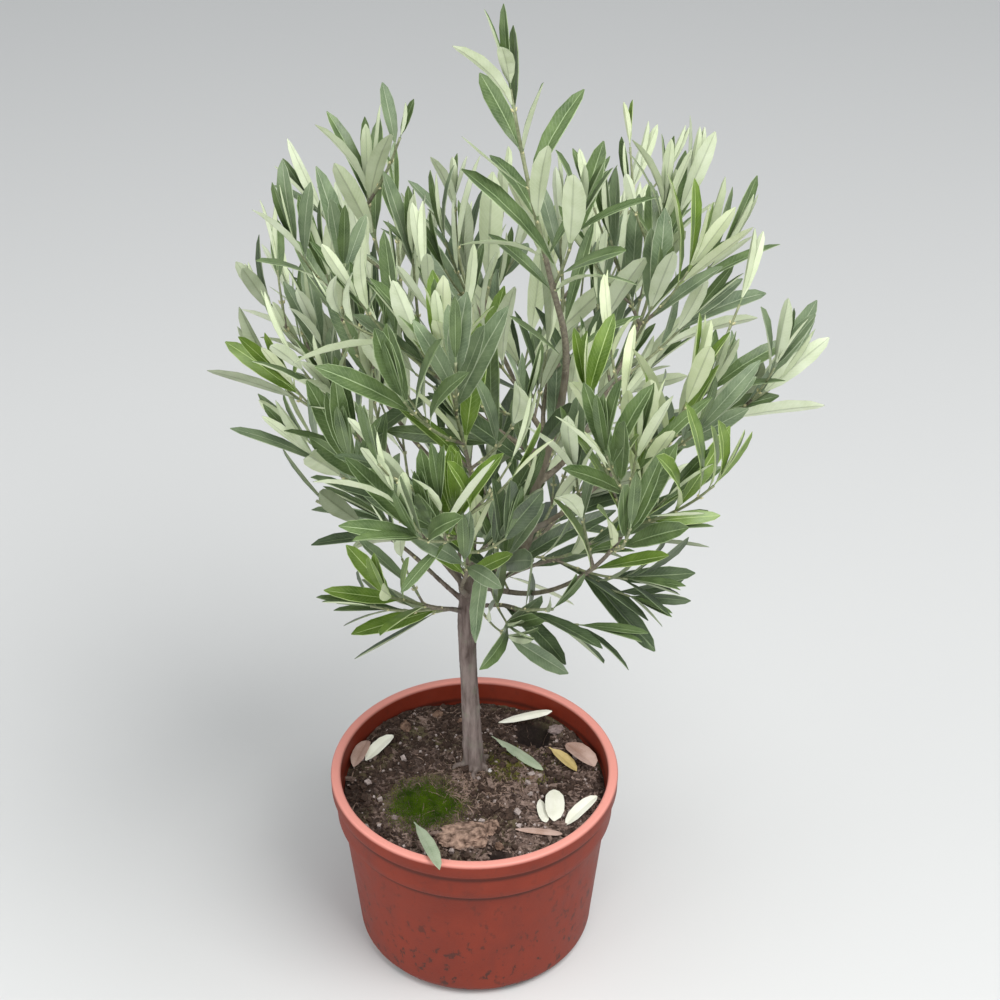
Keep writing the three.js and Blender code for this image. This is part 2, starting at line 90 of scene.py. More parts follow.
def turn_profile(name, profile, sides):
    """A ring is extruded and resized from station to station, and both ends are closed."""
    bpy.ops.object.select_all(action="DESELECT")
    radius, height = profile[0]
    bpy.ops.mesh.primitive_circle_add(vertices=sides, radius=radius, location=(0, 0, 0))
    piece = bpy.context.object
    piece.name = name
    bpy.ops.object.mode_set(mode="EDIT")
    bpy.ops.mesh.select_all(action="SELECT")
    bpy.ops.transform.translate(value=(0, 0, height))
    for next_radius, next_height in profile[1:]:
        bpy.ops.mesh.extrude_region_move(TRANSFORM_OT_translate={"value": (0, 0, next_height - height)})
        grow = next_radius / radius
        bpy.ops.transform.resize(value=(grow, grow, 1), center_override=(0, 0, next_height))
        radius, height = next_radius, next_height
    bpy.ops.mesh.select_all(action="DESELECT")
    bpy.ops.mesh.select_non_manifold()
    bpy.ops.mesh.fill_holes(sides=0)
    bpy.ops.mesh.select_all(action="SELECT")
    bpy.ops.mesh.normals_make_consistent(inside=False)
    bpy.ops.object.mode_set(mode="OBJECT")
    return piece


def select_only(piece):
    bpy.ops.object.select_all(action="DESELECT")
    piece.select_set(True)
    bpy.context.view_layer.objects.active = piece


def apply_modifiers(piece):
    select_only(piece)
    for modifier in list(piece.modifiers):
        bpy.ops.object.modifier_apply(modifier=modifier.name)


def smooth_by_angle(piece, degrees):
    select_only(piece)
    bpy.ops.object.shade_smooth_by_angle(angle=math.radians(degrees))


def dress(piece, slot, *nodes):
    """The piece belongs to the object and stands for these solids; the slot is not used."""
    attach(piece, "root")
    if nodes:
        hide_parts(*nodes)


class Finish:
    """A material, and the nodes that paint it in object coordinates."""

    def __init__(self, name, roughness, specular=0.5):
        self.material = bpy.data.materials.new(name)
        self.material.use_nodes = True
        self.tree = self.material.node_tree
        self.shader = self.tree.nodes["Principled BSDF"]
        self.shader.inputs["Roughness"].default_value = roughness
        self.shader.inputs["Specular IOR Level"].default_value = specular
        self.place = self.tree.nodes.new("ShaderNodeTexCoord").outputs["Object"]

    def stretched(self, x, y, z):
        node = self.tree.nodes.new("ShaderNodeMapping")
        node.inputs["Scale"].default_value = (x, y, z)
        self.tree.links.new(self.place, node.inputs["Vector"])
        return node.outputs["Vector"]

    def mottle(self, scale, detail=3.0, rough=0.5, place=None):
        node = self.tree.nodes.new("ShaderNodeTexNoise")
        node.inputs["Scale"].default_value = scale
        node.inputs["Detail"].default_value = detail
        node.inputs["Roughness"].default_value = rough
        self.tree.links.new(place or self.place, node.inputs["Vector"])
        return node.outputs["Fac"]

    def own_map(self):
        """The two coordinates of the piece's own map."""
        node = self.tree.nodes.new("ShaderNodeUVMap")
        node.uv_map = "shape"
        parts = self.tree.nodes.new("ShaderNodeSeparateXYZ")
        self.tree.links.new(node.outputs["UV"], parts.inputs["Vector"])
        return parts.outputs["X"], parts.outputs["Y"]

    def height(self):
        node = self.tree.nodes.new("ShaderNodeSeparateXYZ")
        self.tree.links.new(self.place, node.inputs["Vector"])
        return node.outputs["Z"]

    def between(self, value, low, high, to_low=0.0, to_high=1.0):
        node = self.tree.nodes.new("ShaderNodeMapRange")
        for socket, number in zip(node.inputs[1:5], (low, high, to_low, to_high)):
            socket.default_value = number
        self.tree.links.new(value, node.inputs["Value"])
        return node.outputs["Result"]

    def maths(self, operation, first, second=0):
        node = self.tree.nodes.new("ShaderNodeMath")
        node.operation = operation
        for socket, value in zip(node.inputs, (first, second)):
            if isinstance(value, (int, float)):
                socket.default_value = value
            else:
                self.tree.links.new(value, socket)
        return node.outputs["Value"]

    def blend(self, factor, first, second):
        node = self.tree.nodes.new("ShaderNodeMix")
        node.data_type = "RGBA"
        self.tree.links.new(factor, node.inputs["Factor"])
        for socket, value in ((node.inputs["A"], first), (node.inputs["B"], second)):
            if isinstance(value, tuple):
                socket.default_value = (*value, 1)
            else:
                self.tree.links.new(value, socket)
        return node.outputs["Result"]

    def colour(self, value):
        self.tree.links.new(value, self.shader.inputs["Base Color"])

    def rough(self, value):
        self.tree.links.new(value, self.shader.inputs["Roughness"])

    def relief(self, value, distance, strength=1.0):
        node = self.tree.nodes.new("ShaderNodeBump")
        node.inputs["Distance"].default_value = distance
        node.inputs["Strength"].default_value = strength
        self.tree.links.new(value, node.inputs["Height"])
        self.tree.links.new(node.outputs["Normal"], self.shader.inputs["Normal"])


foot_centre = wall_radius(FOOT_ROUND) - FOOT_ROUND
lip_inner = RIM - LIP
lip_centre = POT_HEIGHT - LIP_ROUND

# Radius and height of each station of the wall, up its outside and down its inside
underside = [
    (CENTRE_DISC, 0.0016), (0.030, 0.0016), (0.060, 0.0016),
    (0.0618, 0.0013), (0.0632, 0.0002), (0.0645, 0.0),
]
outer_wall = [(wall_radius(h), h) for h in (0.022, 0.035, 0.05, 0.07, 0.09, 0.105, 0.1155)]
lower_step = [
    (wall_radius(0.1158) - 0.0004, 0.1162), (wall_radius(0.1167) - 0.0002, 0.1169), (COLLAR - 0.0022, 0.1174),
    (COLLAR - 0.0010, 0.1180), (COLLAR - 0.0005, 0.1190), (COLLAR - 0.0003, 0.124), (COLLAR - 0.0002, 0.1386),
]
upper_step = [
    (COLLAR - 0.0009, 0.1396), (COLLAR - 0.0007, 0.1404), (RIM - 0.0016, 0.1409),
    (RIM - 0.0006, 0.1416), (RIM - 0.0002, 0.1428), (RIM - 0.0002, 0.147),
]
lip_inside = (lip_inner - 0.0003, 0.145)
collar_inside = (wall_radius(0.114) - WALL, 0.116)
shoulder_inside = (wall_radius(SHOULDER) - WALL, SHOULDER)
pot = turn_profile("pot_shell", [
    *underside,
    *arc(foot_centre, FOOT_ROUND, FOOT_ROUND, -90, -7, 9),
    *outer_wall,
    *lower_step,
    *upper_step,
    *arc(RIM - LIP_ROUND, lip_centre, LIP_ROUND, 0, 90, 6),
    *arc(lip_inner + LIP_ROUND, lip_centre, LIP_ROUND, 90, 180, 6),
    lip_inside, collar_inside, shoulder_inside, (wall_radius(0.06) - WALL, 0.06),
    *arc(foot_centre, FOOT_ROUND, FOOT_ROUND - POT_FLOOR, -4, -90, 6),
    (CENTRE_DISC, POT_FLOOR),
], POT_SIDES)

for notch in range(NOTCHES):
    turn = math.radians(FIRST_NOTCH + notch * 360 / NOTCHES)
    bpy.ops.object.select_all(action="DESELECT")
    place = (NOTCH_PLACE * math.cos(turn), NOTCH_PLACE * math.sin(turn), 0)
    bpy.ops.mesh.primitive_cube_add(size=1, location=place)
    cutter = bpy.context.object
    cutter.rotation_euler = (0, 0, turn)
    cutter.scale = NOTCH_SIZE
    bpy.ops.object.transform_apply(location=True, rotation=True, scale=True)
    rounding = cutter.modifiers.new("rounding", "BEVEL")
    rounding.width = NOTCH_ROUND
    rounding.segments = 3
    apply_modifiers(cutter)
    cut = pot.modifiers.new("notch", "BOOLEAN")
    cut.operation = "DIFFERENCE"
    cut.object = cutter
    apply_modifiers(pot)
    bpy.data.objects.remove(cutter)
smooth_by_angle(pot, 32)

terracotta = Finish("terracotta_plastic", 0.5, 0.25)
dust = terracotta.mottle(22, 4, 0.6)
streak = terracotta.mottle(60, 5, 0.6, terracotta.stretched(1, 1, 0.25))
fleck = terracotta.mottle(165, 4, 0.62, terracotta.stretched(1, 1, 0.7))
body = terracotta.blend(terracotta.between(dust, 0.35, 0.68), (0.182, 0.022, 0.009), (0.228, 0.033, 0.016))
body = terracotta.blend(terracotta.between(streak, 0.52, 0.75, 0, 0.35), body, (0.130, 0.026, 0.018))
rise = terracotta.height()
low_wall = terracotta.between(rise, 0.125, 0.03, 0.15, 0.85)
soiled = terracotta.maths("MULTIPLY", terracotta.between(fleck, 0.567, 0.64), low_wall)
body = terracotta.blend(soiled, body, (0.045, 0.020, 0.015))
# Painted shadow: the wall is darkened just under each of the two steps, where their overhang shades it
for step in STEP_SHADOWS:
    away = terracotta.maths("ABSOLUTE", terracotta.maths("SUBTRACT", rise, step))
    body = terracotta.blend(terracotta.between(away, 0.0004, 0.0030, 0.75, 0), body, (0.055, 0.012, 0.007))
# Painted highlight: the top of the rim is painted pale pink, as where light catches it
rim_highlight = terracotta.between(rise, *RIM_HIGHLIGHT, 0, 0.85)
terracotta.colour(terracotta.blend(rim_highlight, body, (0.83, 0.345, 0.285)))
terracotta.rough(terracotta.between(dust, 0.3, 0.7, 0.42, 0.62))
moulding = terracotta.maths("ADD", terracotta.mottle(900, 2), terracotta.maths("MULTIPLY", dust, 2))
terracotta.relief(moulding, 0.00025, 0.5)
pot.data.materials.append(terracotta.material)
dress(pot, "pot", "pot")

# Compost
# Damp peat and bark compost that has settled below the rim, lumpy from watering, heaped round the
# stem and at the back left, with a hole at the back right and a dip in front. It holds the roots.
SOIL_TOP = 0.1365
SOIL_RADIUS = wall_radius(0.12) - WALL + 0.0002
SOIL_SIDES = 300
SOIL_RINGS = 76
SOIL_EDGE = 0.005
WALL_GAP = 0.0003
FLOOR_GAP = 0.0006
MOSS_CENTRE = Vector((-0.0365, -0.0250))
MOSS_SPREAD = 0.040
STEM_PLACE = Vector((0.0, 0.022))
# x, y, spread and height of the heaps and hollows in the compost
HEAPS = [
    (-0.060, 0.068, 0.042, 0.0065), (0.047, 0.064, 0.014, -0.0160), (0.016, -0.076, 0.010, -0.0060),
    (0.0, 0.022, 0.022, 0.0030), (0.062, 0.070, 0.030, 0.0030), (-0.006, -0.061, 0.022, 0.0030),
]


def moss_share(x, y):
    """1 in the middle of the moss pad, 0 outside it, with a ragged edge."""
    offset = Vector((x, y)) - MOSS_CENTRE
    edge = MOSS_SPREAD * (1 + 0.35 * noise.noise(Vector((x * 60, y * 60, 7.0))))
    return max(0.0, 1 - offset.length / edge)


def soil_height(x, y):
    out = math.hypot(x, y) / SOIL_RADIUS
    spot = Vector((x, y, 0.0))
    dip = 0.003 * max(0.0, (out - 0.5) / 0.5) ** 2
    swell = 0.0034 * noise.noise(spot * 26) + 0.0022 * noise.noise(spot * 70 + Vector((3, 1, 5)))
    crumb = 0.0012 * noise.noise(spot * 210) + 0.0008 * noise.noise(spot * 480)
    heaped = 0.0
    for heap_x, heap_y, spread, high in HEAPS:
        heaped += high * math.exp(-(math.dist((x, y), (heap_x, heap_y)) / spread) ** 2)
    pad = 0.0034 * math.sqrt(moss_share(x, y))
    return SOIL_TOP - 0.0015 - dip + swell + crumb * (1 - min(1, 3 * moss_share(x, y))) + heaped + pad


rings = [(SOIL_RADIUS * (1 - i / SOIL_RINGS), SOIL_TOP) for i in range(SOIL_RINGS)]
soil = turn_profile("compost_bed", [
    (CENTRE_DISC, POT_FLOOR + FLOOR_GAP),
    *arc(foot_centre - FLOOR_GAP, FOOT_ROUND, FOOT_ROUND - POT_FLOOR - FLOOR_GAP, -90, -4, 6),
    (shoulder_inside[0] - FLOOR_GAP, SHOULDER),
    (SOIL_RADIUS, SOIL_TOP - SOIL_EDGE),
    *rings,
], SOIL_SIDES)
inside_radii, inside_heights = zip(collar_inside, lip_inside)
for vertex in soil.data.vertices:
    if vertex.co.z > SOIL_TOP - 0.001:
        x, y, _ = vertex.co
        height = soil_height(x, y)
        wall = float(np.interp(height, inside_heights, inside_radii)) - WALL_GAP
        spread = 1 + (wall / SOIL_RADIUS - 1) * (math.hypot(x, y) / SOIL_RADIUS) ** 8
        vertex.co = (x * spread, y * spread, height)
smooth_by_angle(soil, 60)

peat = Finish("peat_compost", 0.95, 0.2)
clod = peat.mottle(120, 6, 0.65)
grain = peat.mottle(520, 4, 0.6)
earth = peat.blend(peat.between(clod, 0.36, 0.66), (0.028, 0.018, 0.014), (0.160, 0.108, 0.088))
earth = peat.blend(peat.between(grain, 0.54, 0.72, 0, 0.8), earth, (0.310, 0.230, 0.200))
algae = peat.maths("MULTIPLY", peat.between(peat.mottle(34, 5, 0.6), 0.5, 0.62), peat.between(clod, 0.3, 0.6))
earth = peat.blend(peat.maths("MULTIPLY", algae, 0.55), earth, (0.085, 0.085, 0.022))
# Low spots in the compost are painted darker: partly damp peat, partly painted shade in the hollows
damp_shaded_hollow = peat.between(peat.height(), SOIL_TOP - 0.0015, SOIL_TOP - 0.0085, 0, 0.9)
peat.colour(peat.blend(damp_shaded_hollow, earth, (0.012, 0.008, 0.007)))
peat.relief(peat.maths("ADD", grain, clod), 0.0012, 0.8)
soil.data.materials.append(peat.material)
dress(soil, "compost", "soil")

# Bark chips and grit
# Chips of composted bark, bits of root and pale grit that work up to the top of the compost.
# Each lies loose on it, and they are of three kinds: dark humus, tan bark and grey-pink grit.
CHIPS = 5200
HOLLOW_DEPTH = 0.0062
STEM_ROOM = 0.0105
# Length, width and height of a chip of humus, bark and grit, as multiples of its size
CHIP_SHAPES = ((1.2, 1.0, 0.7), (2.3, 0.8, 0.42), (1, 0.9, 0.8))
CHIP_TIP = 0.35
WHOLE_TURN = 6.28
chip_rng = np.random.default_rng(11)
box_corners = np.array([[x, y, z] for x in (-1, 1) for y in (-1, 1) for z in (-1, 1)], float)
box_faces = [(0, 1, 3, 2), (4, 6, 7, 5), (0, 4, 5, 1), (2, 3, 7, 6), (0, 2, 6, 4), (1, 5, 7, 3)]


def mesh_piece(name, vertices, faces, materials, material_of_face, smooth=True, places=None):
    """A piece made of many small shapes, joined in one mesh from arrays, with a map of its own if given."""
    mesh = bpy.data.meshes.new(name)
    mesh.from_pydata([tuple(map(float, v)) for v in vertices], [], faces)
    for material in materials:
        mesh.materials.append(material)
    mesh.polygons.foreach_set("material_index", material_of_face)
    mesh.polygons.foreach_set("use_smooth", [smooth] * len(faces))
    if places is not None:
        mesh.uv_layers.new(name="shape").data.foreach_set("uv", np.ravel(places))
    mesh.update()
    piece = bpy.data.objects.new(name, mesh)
    bpy.context.scene.collection.objects.link(piece)
    return piece


def turned_box(centre, size, turn, tip, rng):
    """A lumpy chip: a box with its corners pushed about, turned and tipped."""
    corners = box_corners * size / 2 * rng.uniform(0.55, 1.15, (8, 3))
    flat = np.array([[math.cos(turn), -math.sin(turn), 0], [math.sin(turn), math.cos(turn), 0], [0, 0, 1]])
    tilt = np.array([[1, 0, 0], [0, math.cos(tip), -math.sin(tip)], [0, math.sin(tip), math.cos(tip)]])
    return corners @ (flat @ tilt).T + centre


chip_vertices, chip_faces, chip_kinds = [], [], []
for chip in range(CHIPS):
    reach = SOIL_RADIUS * 0.985 * math.sqrt(chip_rng.random())
    bearing = chip_rng.random() * 2 * math.pi
    x, y = reach * math.cos(bearing), reach * math.sin(bearing)
    tan = min(0.8, max(0.08, 0.42 + 1.1 * noise.noise(Vector((x * 34, y * 34, 9.0))) + 6 * (x - y - 0.03)))
    kind = int(chip_rng.choice(3, p=(0.95 - tan * 0.95, tan * 0.95, 0.05)))
    size = chip_rng.uniform(0.0008, 0.0024) * (1 + 1.5 * (chip_rng.random() > 0.95))
    if moss_share(x, y) > 0.15 or (Vector((x, y)) - STEM_PLACE).length < STEM_ROOM:
        continue
    if soil_height(x, y) < SOIL_TOP - HOLLOW_DEPTH:
        continue
    shape = CHIP_SHAPES[kind]
    centre = np.array([x, y, soil_height(x, y) + size * shape[2] * 0.3])
    turn, tip = chip_rng.random() * WHOLE_TURN, chip_rng.normal(0, CHIP_TIP)
    corners = turned_box(centre, size * np.array(shape), turn, tip, chip_rng)
    start = len(chip_vertices)
    chip_vertices.extend(corners)
    chip_faces.extend(tuple(start + i for i in face) for face in box_faces)
    chip_kinds.extend([kind] * len(box_faces))


def speckled(name, low, high, scale, roughness, relief, specular=0.3):
    finish = Finish(name, roughness, specular)
    spots = finish.mottle(scale, 4, 0.6)
    finish.colour(finish.blend(finish.between(spots, 0.35, 0.65), low, high))
    finish.relief(spots, relief, 0.7)
    return finish.material


chips = mesh_piece("bark_chips", chip_vertices, chip_faces, [
    speckled("humus_chip", (0.028, 0.017, 0.012), (0.075, 0.045, 0.032), 600, 0.9, 0.0003),
    speckled("bark_chip", (0.120, 0.078, 0.060), (0.285, 0.205, 0.170), 500, 0.85, 0.0003),
    speckled("grit", (0.28, 0.22, 0.20), (0.50, 0.42, 0.39), 400, 0.7, 0.0002),
], chip_kinds, smooth=False)
dress(chips, "compost")

# Bark lumps and stones
# A few larger lumps of red-brown bark in front of the stem and some small stones. They lie loose,
# a third sunk in the compost, each one a rounded blank knocked into an uneven shape.

# Place, length, width, height (all in millimetres), turn and look
LUMPS = [
    (-6, -61, 40, 24, 11, 0.15, "clod"), (12, -50, 17, 12, 8, 1.2, "clod"), (19, -66, 8, 6, 4, 2.2, "bark"),
    (-24, -62, 7, 5, 3.5, 0.8, "bark"), (-88, 31, 9, 7, 5, 0.4, "stone"), (12, 13, 4, 3.4, 2.6, 0.9, "white"),
    (64, 66, 12, 9, 7, 0.2, "stone"), (30, -30, 5, 4, 3, 1.7, "bark"), (-60, -40, 5, 4, 3, 2.6, "stone"),
    (44, 8, 6, 4, 3, 0.5, "bark"), (-12, 74, 7, 5, 4, 1.1, "bark"), (-55, 62, 11, 8, 6, 2.0, "bark"),
    (-30, 80, 9, 7, 5, 0.6, "bark"),
]
# How far a lump's middle stands over the compost, in metres for each millimetre of its height
LUMP_REST = 0.00018
lump_looks = {
    "clod": speckled("fibrous_clod", (0.085, 0.052, 0.038), (0.440, 0.295, 0.225), 210, 0.95, 0.0012, 0.15),
    "bark": speckled("red_brown_bark", (0.095, 0.052, 0.036), (0.260, 0.165, 0.115), 260, 0.85, 0.0008),
    "stone": speckled("pink_grey_stone", (0.170, 0.125, 0.115), (0.300, 0.235, 0.220), 300, 0.75, 0.0004),
    "white": speckled("white_stone", (0.480, 0.450, 0.430), (0.620, 0.590, 0.570), 300, 0.7, 0.0003),
}
lumps = []
for number, (x, y, long, wide, high, turn, look) in enumerate(LUMPS):
    bpy.ops.object.select_all(action="DESELECT")
    bpy.ops.mesh.primitive_ico_sphere_add(subdivisions=4, radius=1, location=(0, 0, 0))
    lump = bpy.context.object
    middle = Vector((x / 1000, y / 1000, soil_height(x / 1000, y / 1000) + high * LUMP_REST))
    for vertex in lump.data.vertices:
        way = vertex.co.copy()
        knock = 1 + 0.42 * noise.noise(way * 1.6 + Vector((number * 7, 0, 0))) + 0.18 * noise.noise(way * 5)
        knock += 0.09 * noise.noise(way * 12)
        way = Vector((way.x * long, way.y * wide, way.z * high)) * 0.5 * 0.001 * knock
        turned_x = way.x * math.cos(turn) - way.y * math.sin(turn)
        turned_y = way.x * math.sin(turn) + way.y * math.cos(turn)
        vertex.co = Vector((turned_x, turned_y, way.z)) + middle
    lump.data.materials.append(lump_looks[look])
    lumps.append(lump)
bpy.ops.object.select_all(action="DESELECT")
for lump in lumps:
    lump.select_set(True)
bpy.context.view_layer.objects.active = lumps[0]
bpy.ops.object.join()
bark_lumps = bpy.context.object
bark_lumps.name = "bark_lumps"
smooth_by_angle(bark_lumps, 35)
dress(bark_lumps, "compost")

# Roots and fibres on the compost
# Fine dry rootlets and bark fibres washed up to the top, thickest round the foot of the stem.
# Each is a thin bent strand that lies loose, half sunk in the crumbs.
FIBRES = 420
FIBRE_POINTS = 6
# Spread and middle of the fibres near the stem, and of those all over the compost
STEM_FIBRES = (0.017, (0.006, 0.004))
LOOSE_FIBRES = (0.05, (0, 0))
EDGE_SHARE = 0.96
fibre_rng = np.random.default_rng(23)
fibre_vertices, fibre_faces, fibre_kinds = [], [], []
for strand in range(FIBRES):
    spread, middle = STEM_FIBRES if strand % 3 else LOOSE_FIBRES
    spot = np.array([fibre_rng.normal(middle[0], spread), fibre_rng.normal(middle[1], spread * 0.8)])
    heading = fibre_rng.random() * WHOLE_TURN
    length = fibre_rng.uniform(0.006, 0.020)
    thick = fibre_rng.uniform(0.00022, 0.00055)
    kind = int(fibre_rng.random() < 0.4)
    start = len(fibre_vertices)
    for k in range(FIBRE_POINTS):
        if math.hypot(*spot) > SOIL_RADIUS * EDGE_SHARE:
            spot *= SOIL_RADIUS * EDGE_SHARE / math.hypot(*spot)
        centre = Vector((spot[0], spot[1], soil_height(*spot) + 0.0003 + 0.0006 * math.sin(k * 1.3 + strand)))
        side = Vector((-math.sin(heading), math.cos(heading), 0))
        for a in (0.0, 1.571, 3.142, 4.712):
            fibre_vertices.append(centre + (side * math.cos(a) + Vector((0, 0, math.sin(a)))) * thick)
        heading += fibre_rng.normal(0, 0.45)
        spot = spot + np.array([math.cos(heading), math.sin(heading)]) * length / (FIBRE_POINTS - 1)
    for k in range(FIBRE_POINTS - 1):
        for a in range(4):
            i, j = start + k * 4 + a, start + k * 4 + (a + 1) % 4
            fibre_faces.append((i, j, j + 4, i + 4))
    end = len(fibre_vertices)
    fibre_faces.extend([(start + 3, start + 2, start + 1, start), tuple(range(end - 4, end))])
    fibre_kinds.extend([kind] * (4 * (FIBRE_POINTS - 1) + 2))
fibres = mesh_piece("root_fibres", fibre_vertices, fibre_faces, [
    speckled("dry_rootlet", (0.200, 0.130, 0.095), (0.330, 0.235, 0.185), 300, 0.8, 0.0002),
    speckled("dark_fibre", (0.060, 0.038, 0.028), (0.120, 0.080, 0.060), 300, 0.85, 0.0002),
], fibre_kinds)
dress(fibres, "compost")

# Moss
# A soft pad of short moss that has grown on the damp side of the compost, in front of the stem, and
# a thin olive patch to its right. Both are fine upright leaves that thin out at a ragged edge.
MOSS_LEAVES = 13500
MOSS_LEAF_HALF = 0.00034
MOSS_SUNK = 0.0004
MOSS_STEM_ROOM = 0.011
MOSS_LEAN = 0.35
PAD_SPREAD = (0.016, 0.015)
PATCH_CENTRE = (0.031, 0.019)
PATCH_SPREAD = (0.014, 0.009)
PATCH_SHARE = 0.8
moss_rng = np.random.default_rng(5)
moss_vertices, moss_faces, moss_kinds = [], [], []
for tuft in range(MOSS_LEAVES):
    in_pad = tuft % 3 > 0
    centre, spread = (MOSS_CENTRE, PAD_SPREAD) if in_pad else (PATCH_CENTRE, PATCH_SPREAD)
    x, y = moss_rng.normal(centre[0], spread[0]), moss_rng.normal(centre[1], spread[1])
    if in_pad:
        share = moss_share(x, y)
    else:
        share = PATCH_SHARE * (noise.noise(Vector((x * 90, y * 90, 2.0))) > -0.1)
    if share <= 0.02 or (Vector((x, y)) - STEM_PLACE).length < MOSS_STEM_ROOM:
        continue
    turn = moss_rng.random() * WHOLE_TURN
    height = moss_rng.uniform(0.0012, 0.0026) * (0.5 + 0.7 * min(1, share * 2))
    lean = Vector((moss_rng.normal(0, MOSS_LEAN), moss_rng.normal(0, MOSS_LEAN), 1)).normalized() * height
    side = Vector((math.cos(turn), math.sin(turn), 0)) * MOSS_LEAF_HALF
    front = Vector((-math.sin(turn), math.cos(turn), 0)) * MOSS_LEAF_HALF
    foot = Vector((x, y, soil_height(x, y) - MOSS_SUNK))
    start = len(moss_vertices)
    moss_vertices.extend([foot - side, foot + side, foot + front, foot + lean])
    moss_faces.extend([(start + 1, start, start + 2), (start, start + 1, start + 3),
                       (start + 1, start + 2, start + 3), (start + 2, start, start + 3)])
    moss_kinds.extend([0 if in_pad and share > moss_rng.uniform(0.05, 0.45) else 1] * 4)
moss = mesh_piece("moss_pad", moss_vertices, moss_faces, [
    speckled("moss_green", (0.029, 0.066, 0.002), (0.092, 0.160, 0.006), 90, 0.9, 0.0002, 0.12),
    speckled("moss_olive", (0.105, 0.112, 0.016), (0.220, 0.212, 0.045), 90, 0.9, 0.0002, 0.12),
], moss_kinds)
dress(moss, "compost")

# Trunk, leader and boughs
# Living wood: a short clear stem with a slight lean and a flared foot, a leader that goes on from
# its head, and the boughs that leave both. They grow as one, with grey-brown, finely fissured bark.
MM = 0.001
UP = np.array([0.0, 0.0, 1.0])
TRUNK_BASE = np.array([0.0, 22, 132])
FORK_RISE = 192
FORK_HEIGHT = TRUNK_BASE[2] + FORK_RISE
TRUNK_STATIONS = np.array([
    [0, 0, -6, 8.4], [-3, -1, 70, 7.4], [-5, -2, 126, 6.6], [-4, -3, 168, 6.9], [4, -6, FORK_RISE, 5.6],
])
ROOT_FLARE = 3.8
ROOT_FLARE_HEIGHT = 22
FLARE_LOBES = 5
FLARE_LOBE_DEPTH = 0.35
LEADER_STATIONS = np.array([
    [4, 16, 324.4, 5.2], [24, 8, 344, 4.9], [38, -2, 366, 4.4], [44, -9, 416, 3.9],
    [60, -18, 490, 3.2], [63, -20, 541, 2.8], [52, -18, 592, 2.4], [36, -11, 664, 1.8], [26, -5, 718, 1.1],
])
LEADER_BARE_SHARE = 0.5
CROWN_CENTRE = np.array([0.0, 20, 0])
BOUGH_RADIUS_FOOT = 2.3
BOUGH_RADIUS_END = 1.6
LEADER_SLIMNESS = 0.8
COLLAR_SWELL = 1.5
LIMB_SWAY = 5
LINE_STEPS = 200
CHAIN_STEPS = 8
SKIN_GRAIN = 0.00085
ROOT_HEIGHT = 5.5
ROOT_RADII = (3.6, 1.2)
# The part of a limb that runs on into its twigs, so that no end shows
OVERLAP = 0.02
# Bearing and reach of each surface root
ROOTS = [(-86, 20), (-31, 17), (48, 18), (128, 16), (196, 20), (243, 17)]

# Name, height where it leaves, bearing, reach, height of its tip, bow, lift and bare share of each
# bough, in millimetres and degrees
SHOOTS = [
    ("front_right", 316, -49, 172, 522, 0.9, 0.24, 0.46),
    ("right", 378, -17, 162, 505, 0.5, 0.38, 0.3),
    ("high_right", 425, 17, 136, 600, 0.8, 0.08, 0.3),
    ("upper_left", 398, 184, 96, 576, 0.8, 0.2, 0.3),
    ("high_left", 446, 148, 82, 610, 0.95, 0.2, 0.34),
    ("left", 308, 208, 104, 506, 0.55, 0.42, 0.3),
    ("front_middle", 366, 258, 84, 560, 0.75, 0.26, 0.3),
    ("front", 304, 266, 138, 476, 0.55, 0.36, 0.34),
    ("low_front_left", 288, 238, 110, 372, 0.5, 0.5, 0.26),
    ("low_front_right", 294, -62, 118, 370, 0.5, 0.5, 0.26),
    ("low_right", 301, -16, 122, 385, 0.5, 0.66, 0.26),
    ("low_left", 296, 180, 112, 388, 0.45, 0.62, 0.26),
    ("high_back", 462, 100, 66, 596, 0.9, 0.22, 0.3),
    ("back", 310, 92, 132, 500, 0.6, 0.34, 0.3),
    ("back_left", 302, 133, 132, 470, 0.6, 0.34, 0.3),
    ("back_right", 356, 50, 142, 480, 0.6, 0.34, 0.3),
    ("high_back_right", 440, 56, 112, 570, 0.7, 0.2, 0.3),
    ("low_back", 290, 104, 104, 372, 0.5, 0.5, 0.26),
    ("low_back_right", 297, 30, 118, 380, 0.5, 0.5, 0.26),
    ("far_left", 315, 162, 114, 506, 0.65, 0.36, 0.32),
]


def lerp(a, b, t):
    return a + (b - a) * t


def unit(v):
    return v / np.linalg.norm(v)


class Line:
    """A limb's line in millimetres, read by the share of its length."""

    def __init__(self, point):
        self.point = point
        self.steps = np.linspace(0, 1, LINE_STEPS + 1)
        places = np.array([point(t) for t in self.steps])
        self.runs = np.concatenate([[0], np.cumsum(np.linalg.norm(np.diff(places, axis=0), axis=1))])
        self.length = float(self.runs[-1])

    def at(self, share):
        return self.point(np.interp(share * self.length, self.runs, self.steps))

    def heading(self, share):
        t = float(np.interp(share * self.length, self.runs, self.steps))
        return unit(self.point(min(1.0, t + 1e-4)) - self.point(max(0.0, t - 1e-4)))

    def stretch(self, start, end):
        return Line(lambda t: self.at(lerp(start, end, t)))

    def chain(self):
        return np.array([self.point(i / CHAIN_STEPS) for i in range(CHAIN_STEPS + 1)])


def smooth_line(points):
    """A smooth line through points, as the solids have it."""
    points = np.asarray(points, float)
    ends = [2 * points[0] - points[1], *points, 2 * points[-1] - points[-2]]

    def point(t):
        place = t * (len(points) - 1)
        i = min(int(place), len(points) - 2)
        w = place - i
        p0, p1, p2, p3 = ends[i:i + 4]
        v0, v1 = (p2 - p0) / 2, (p3 - p1) / 2
        return (2 * p1 - 2 * p2 + v0 + v1) * w ** 3 + (-3 * p1 + 3 * p2 - 2 * v0 - v1) * w ** 2 + v0 * w + p1

    return Line(point)


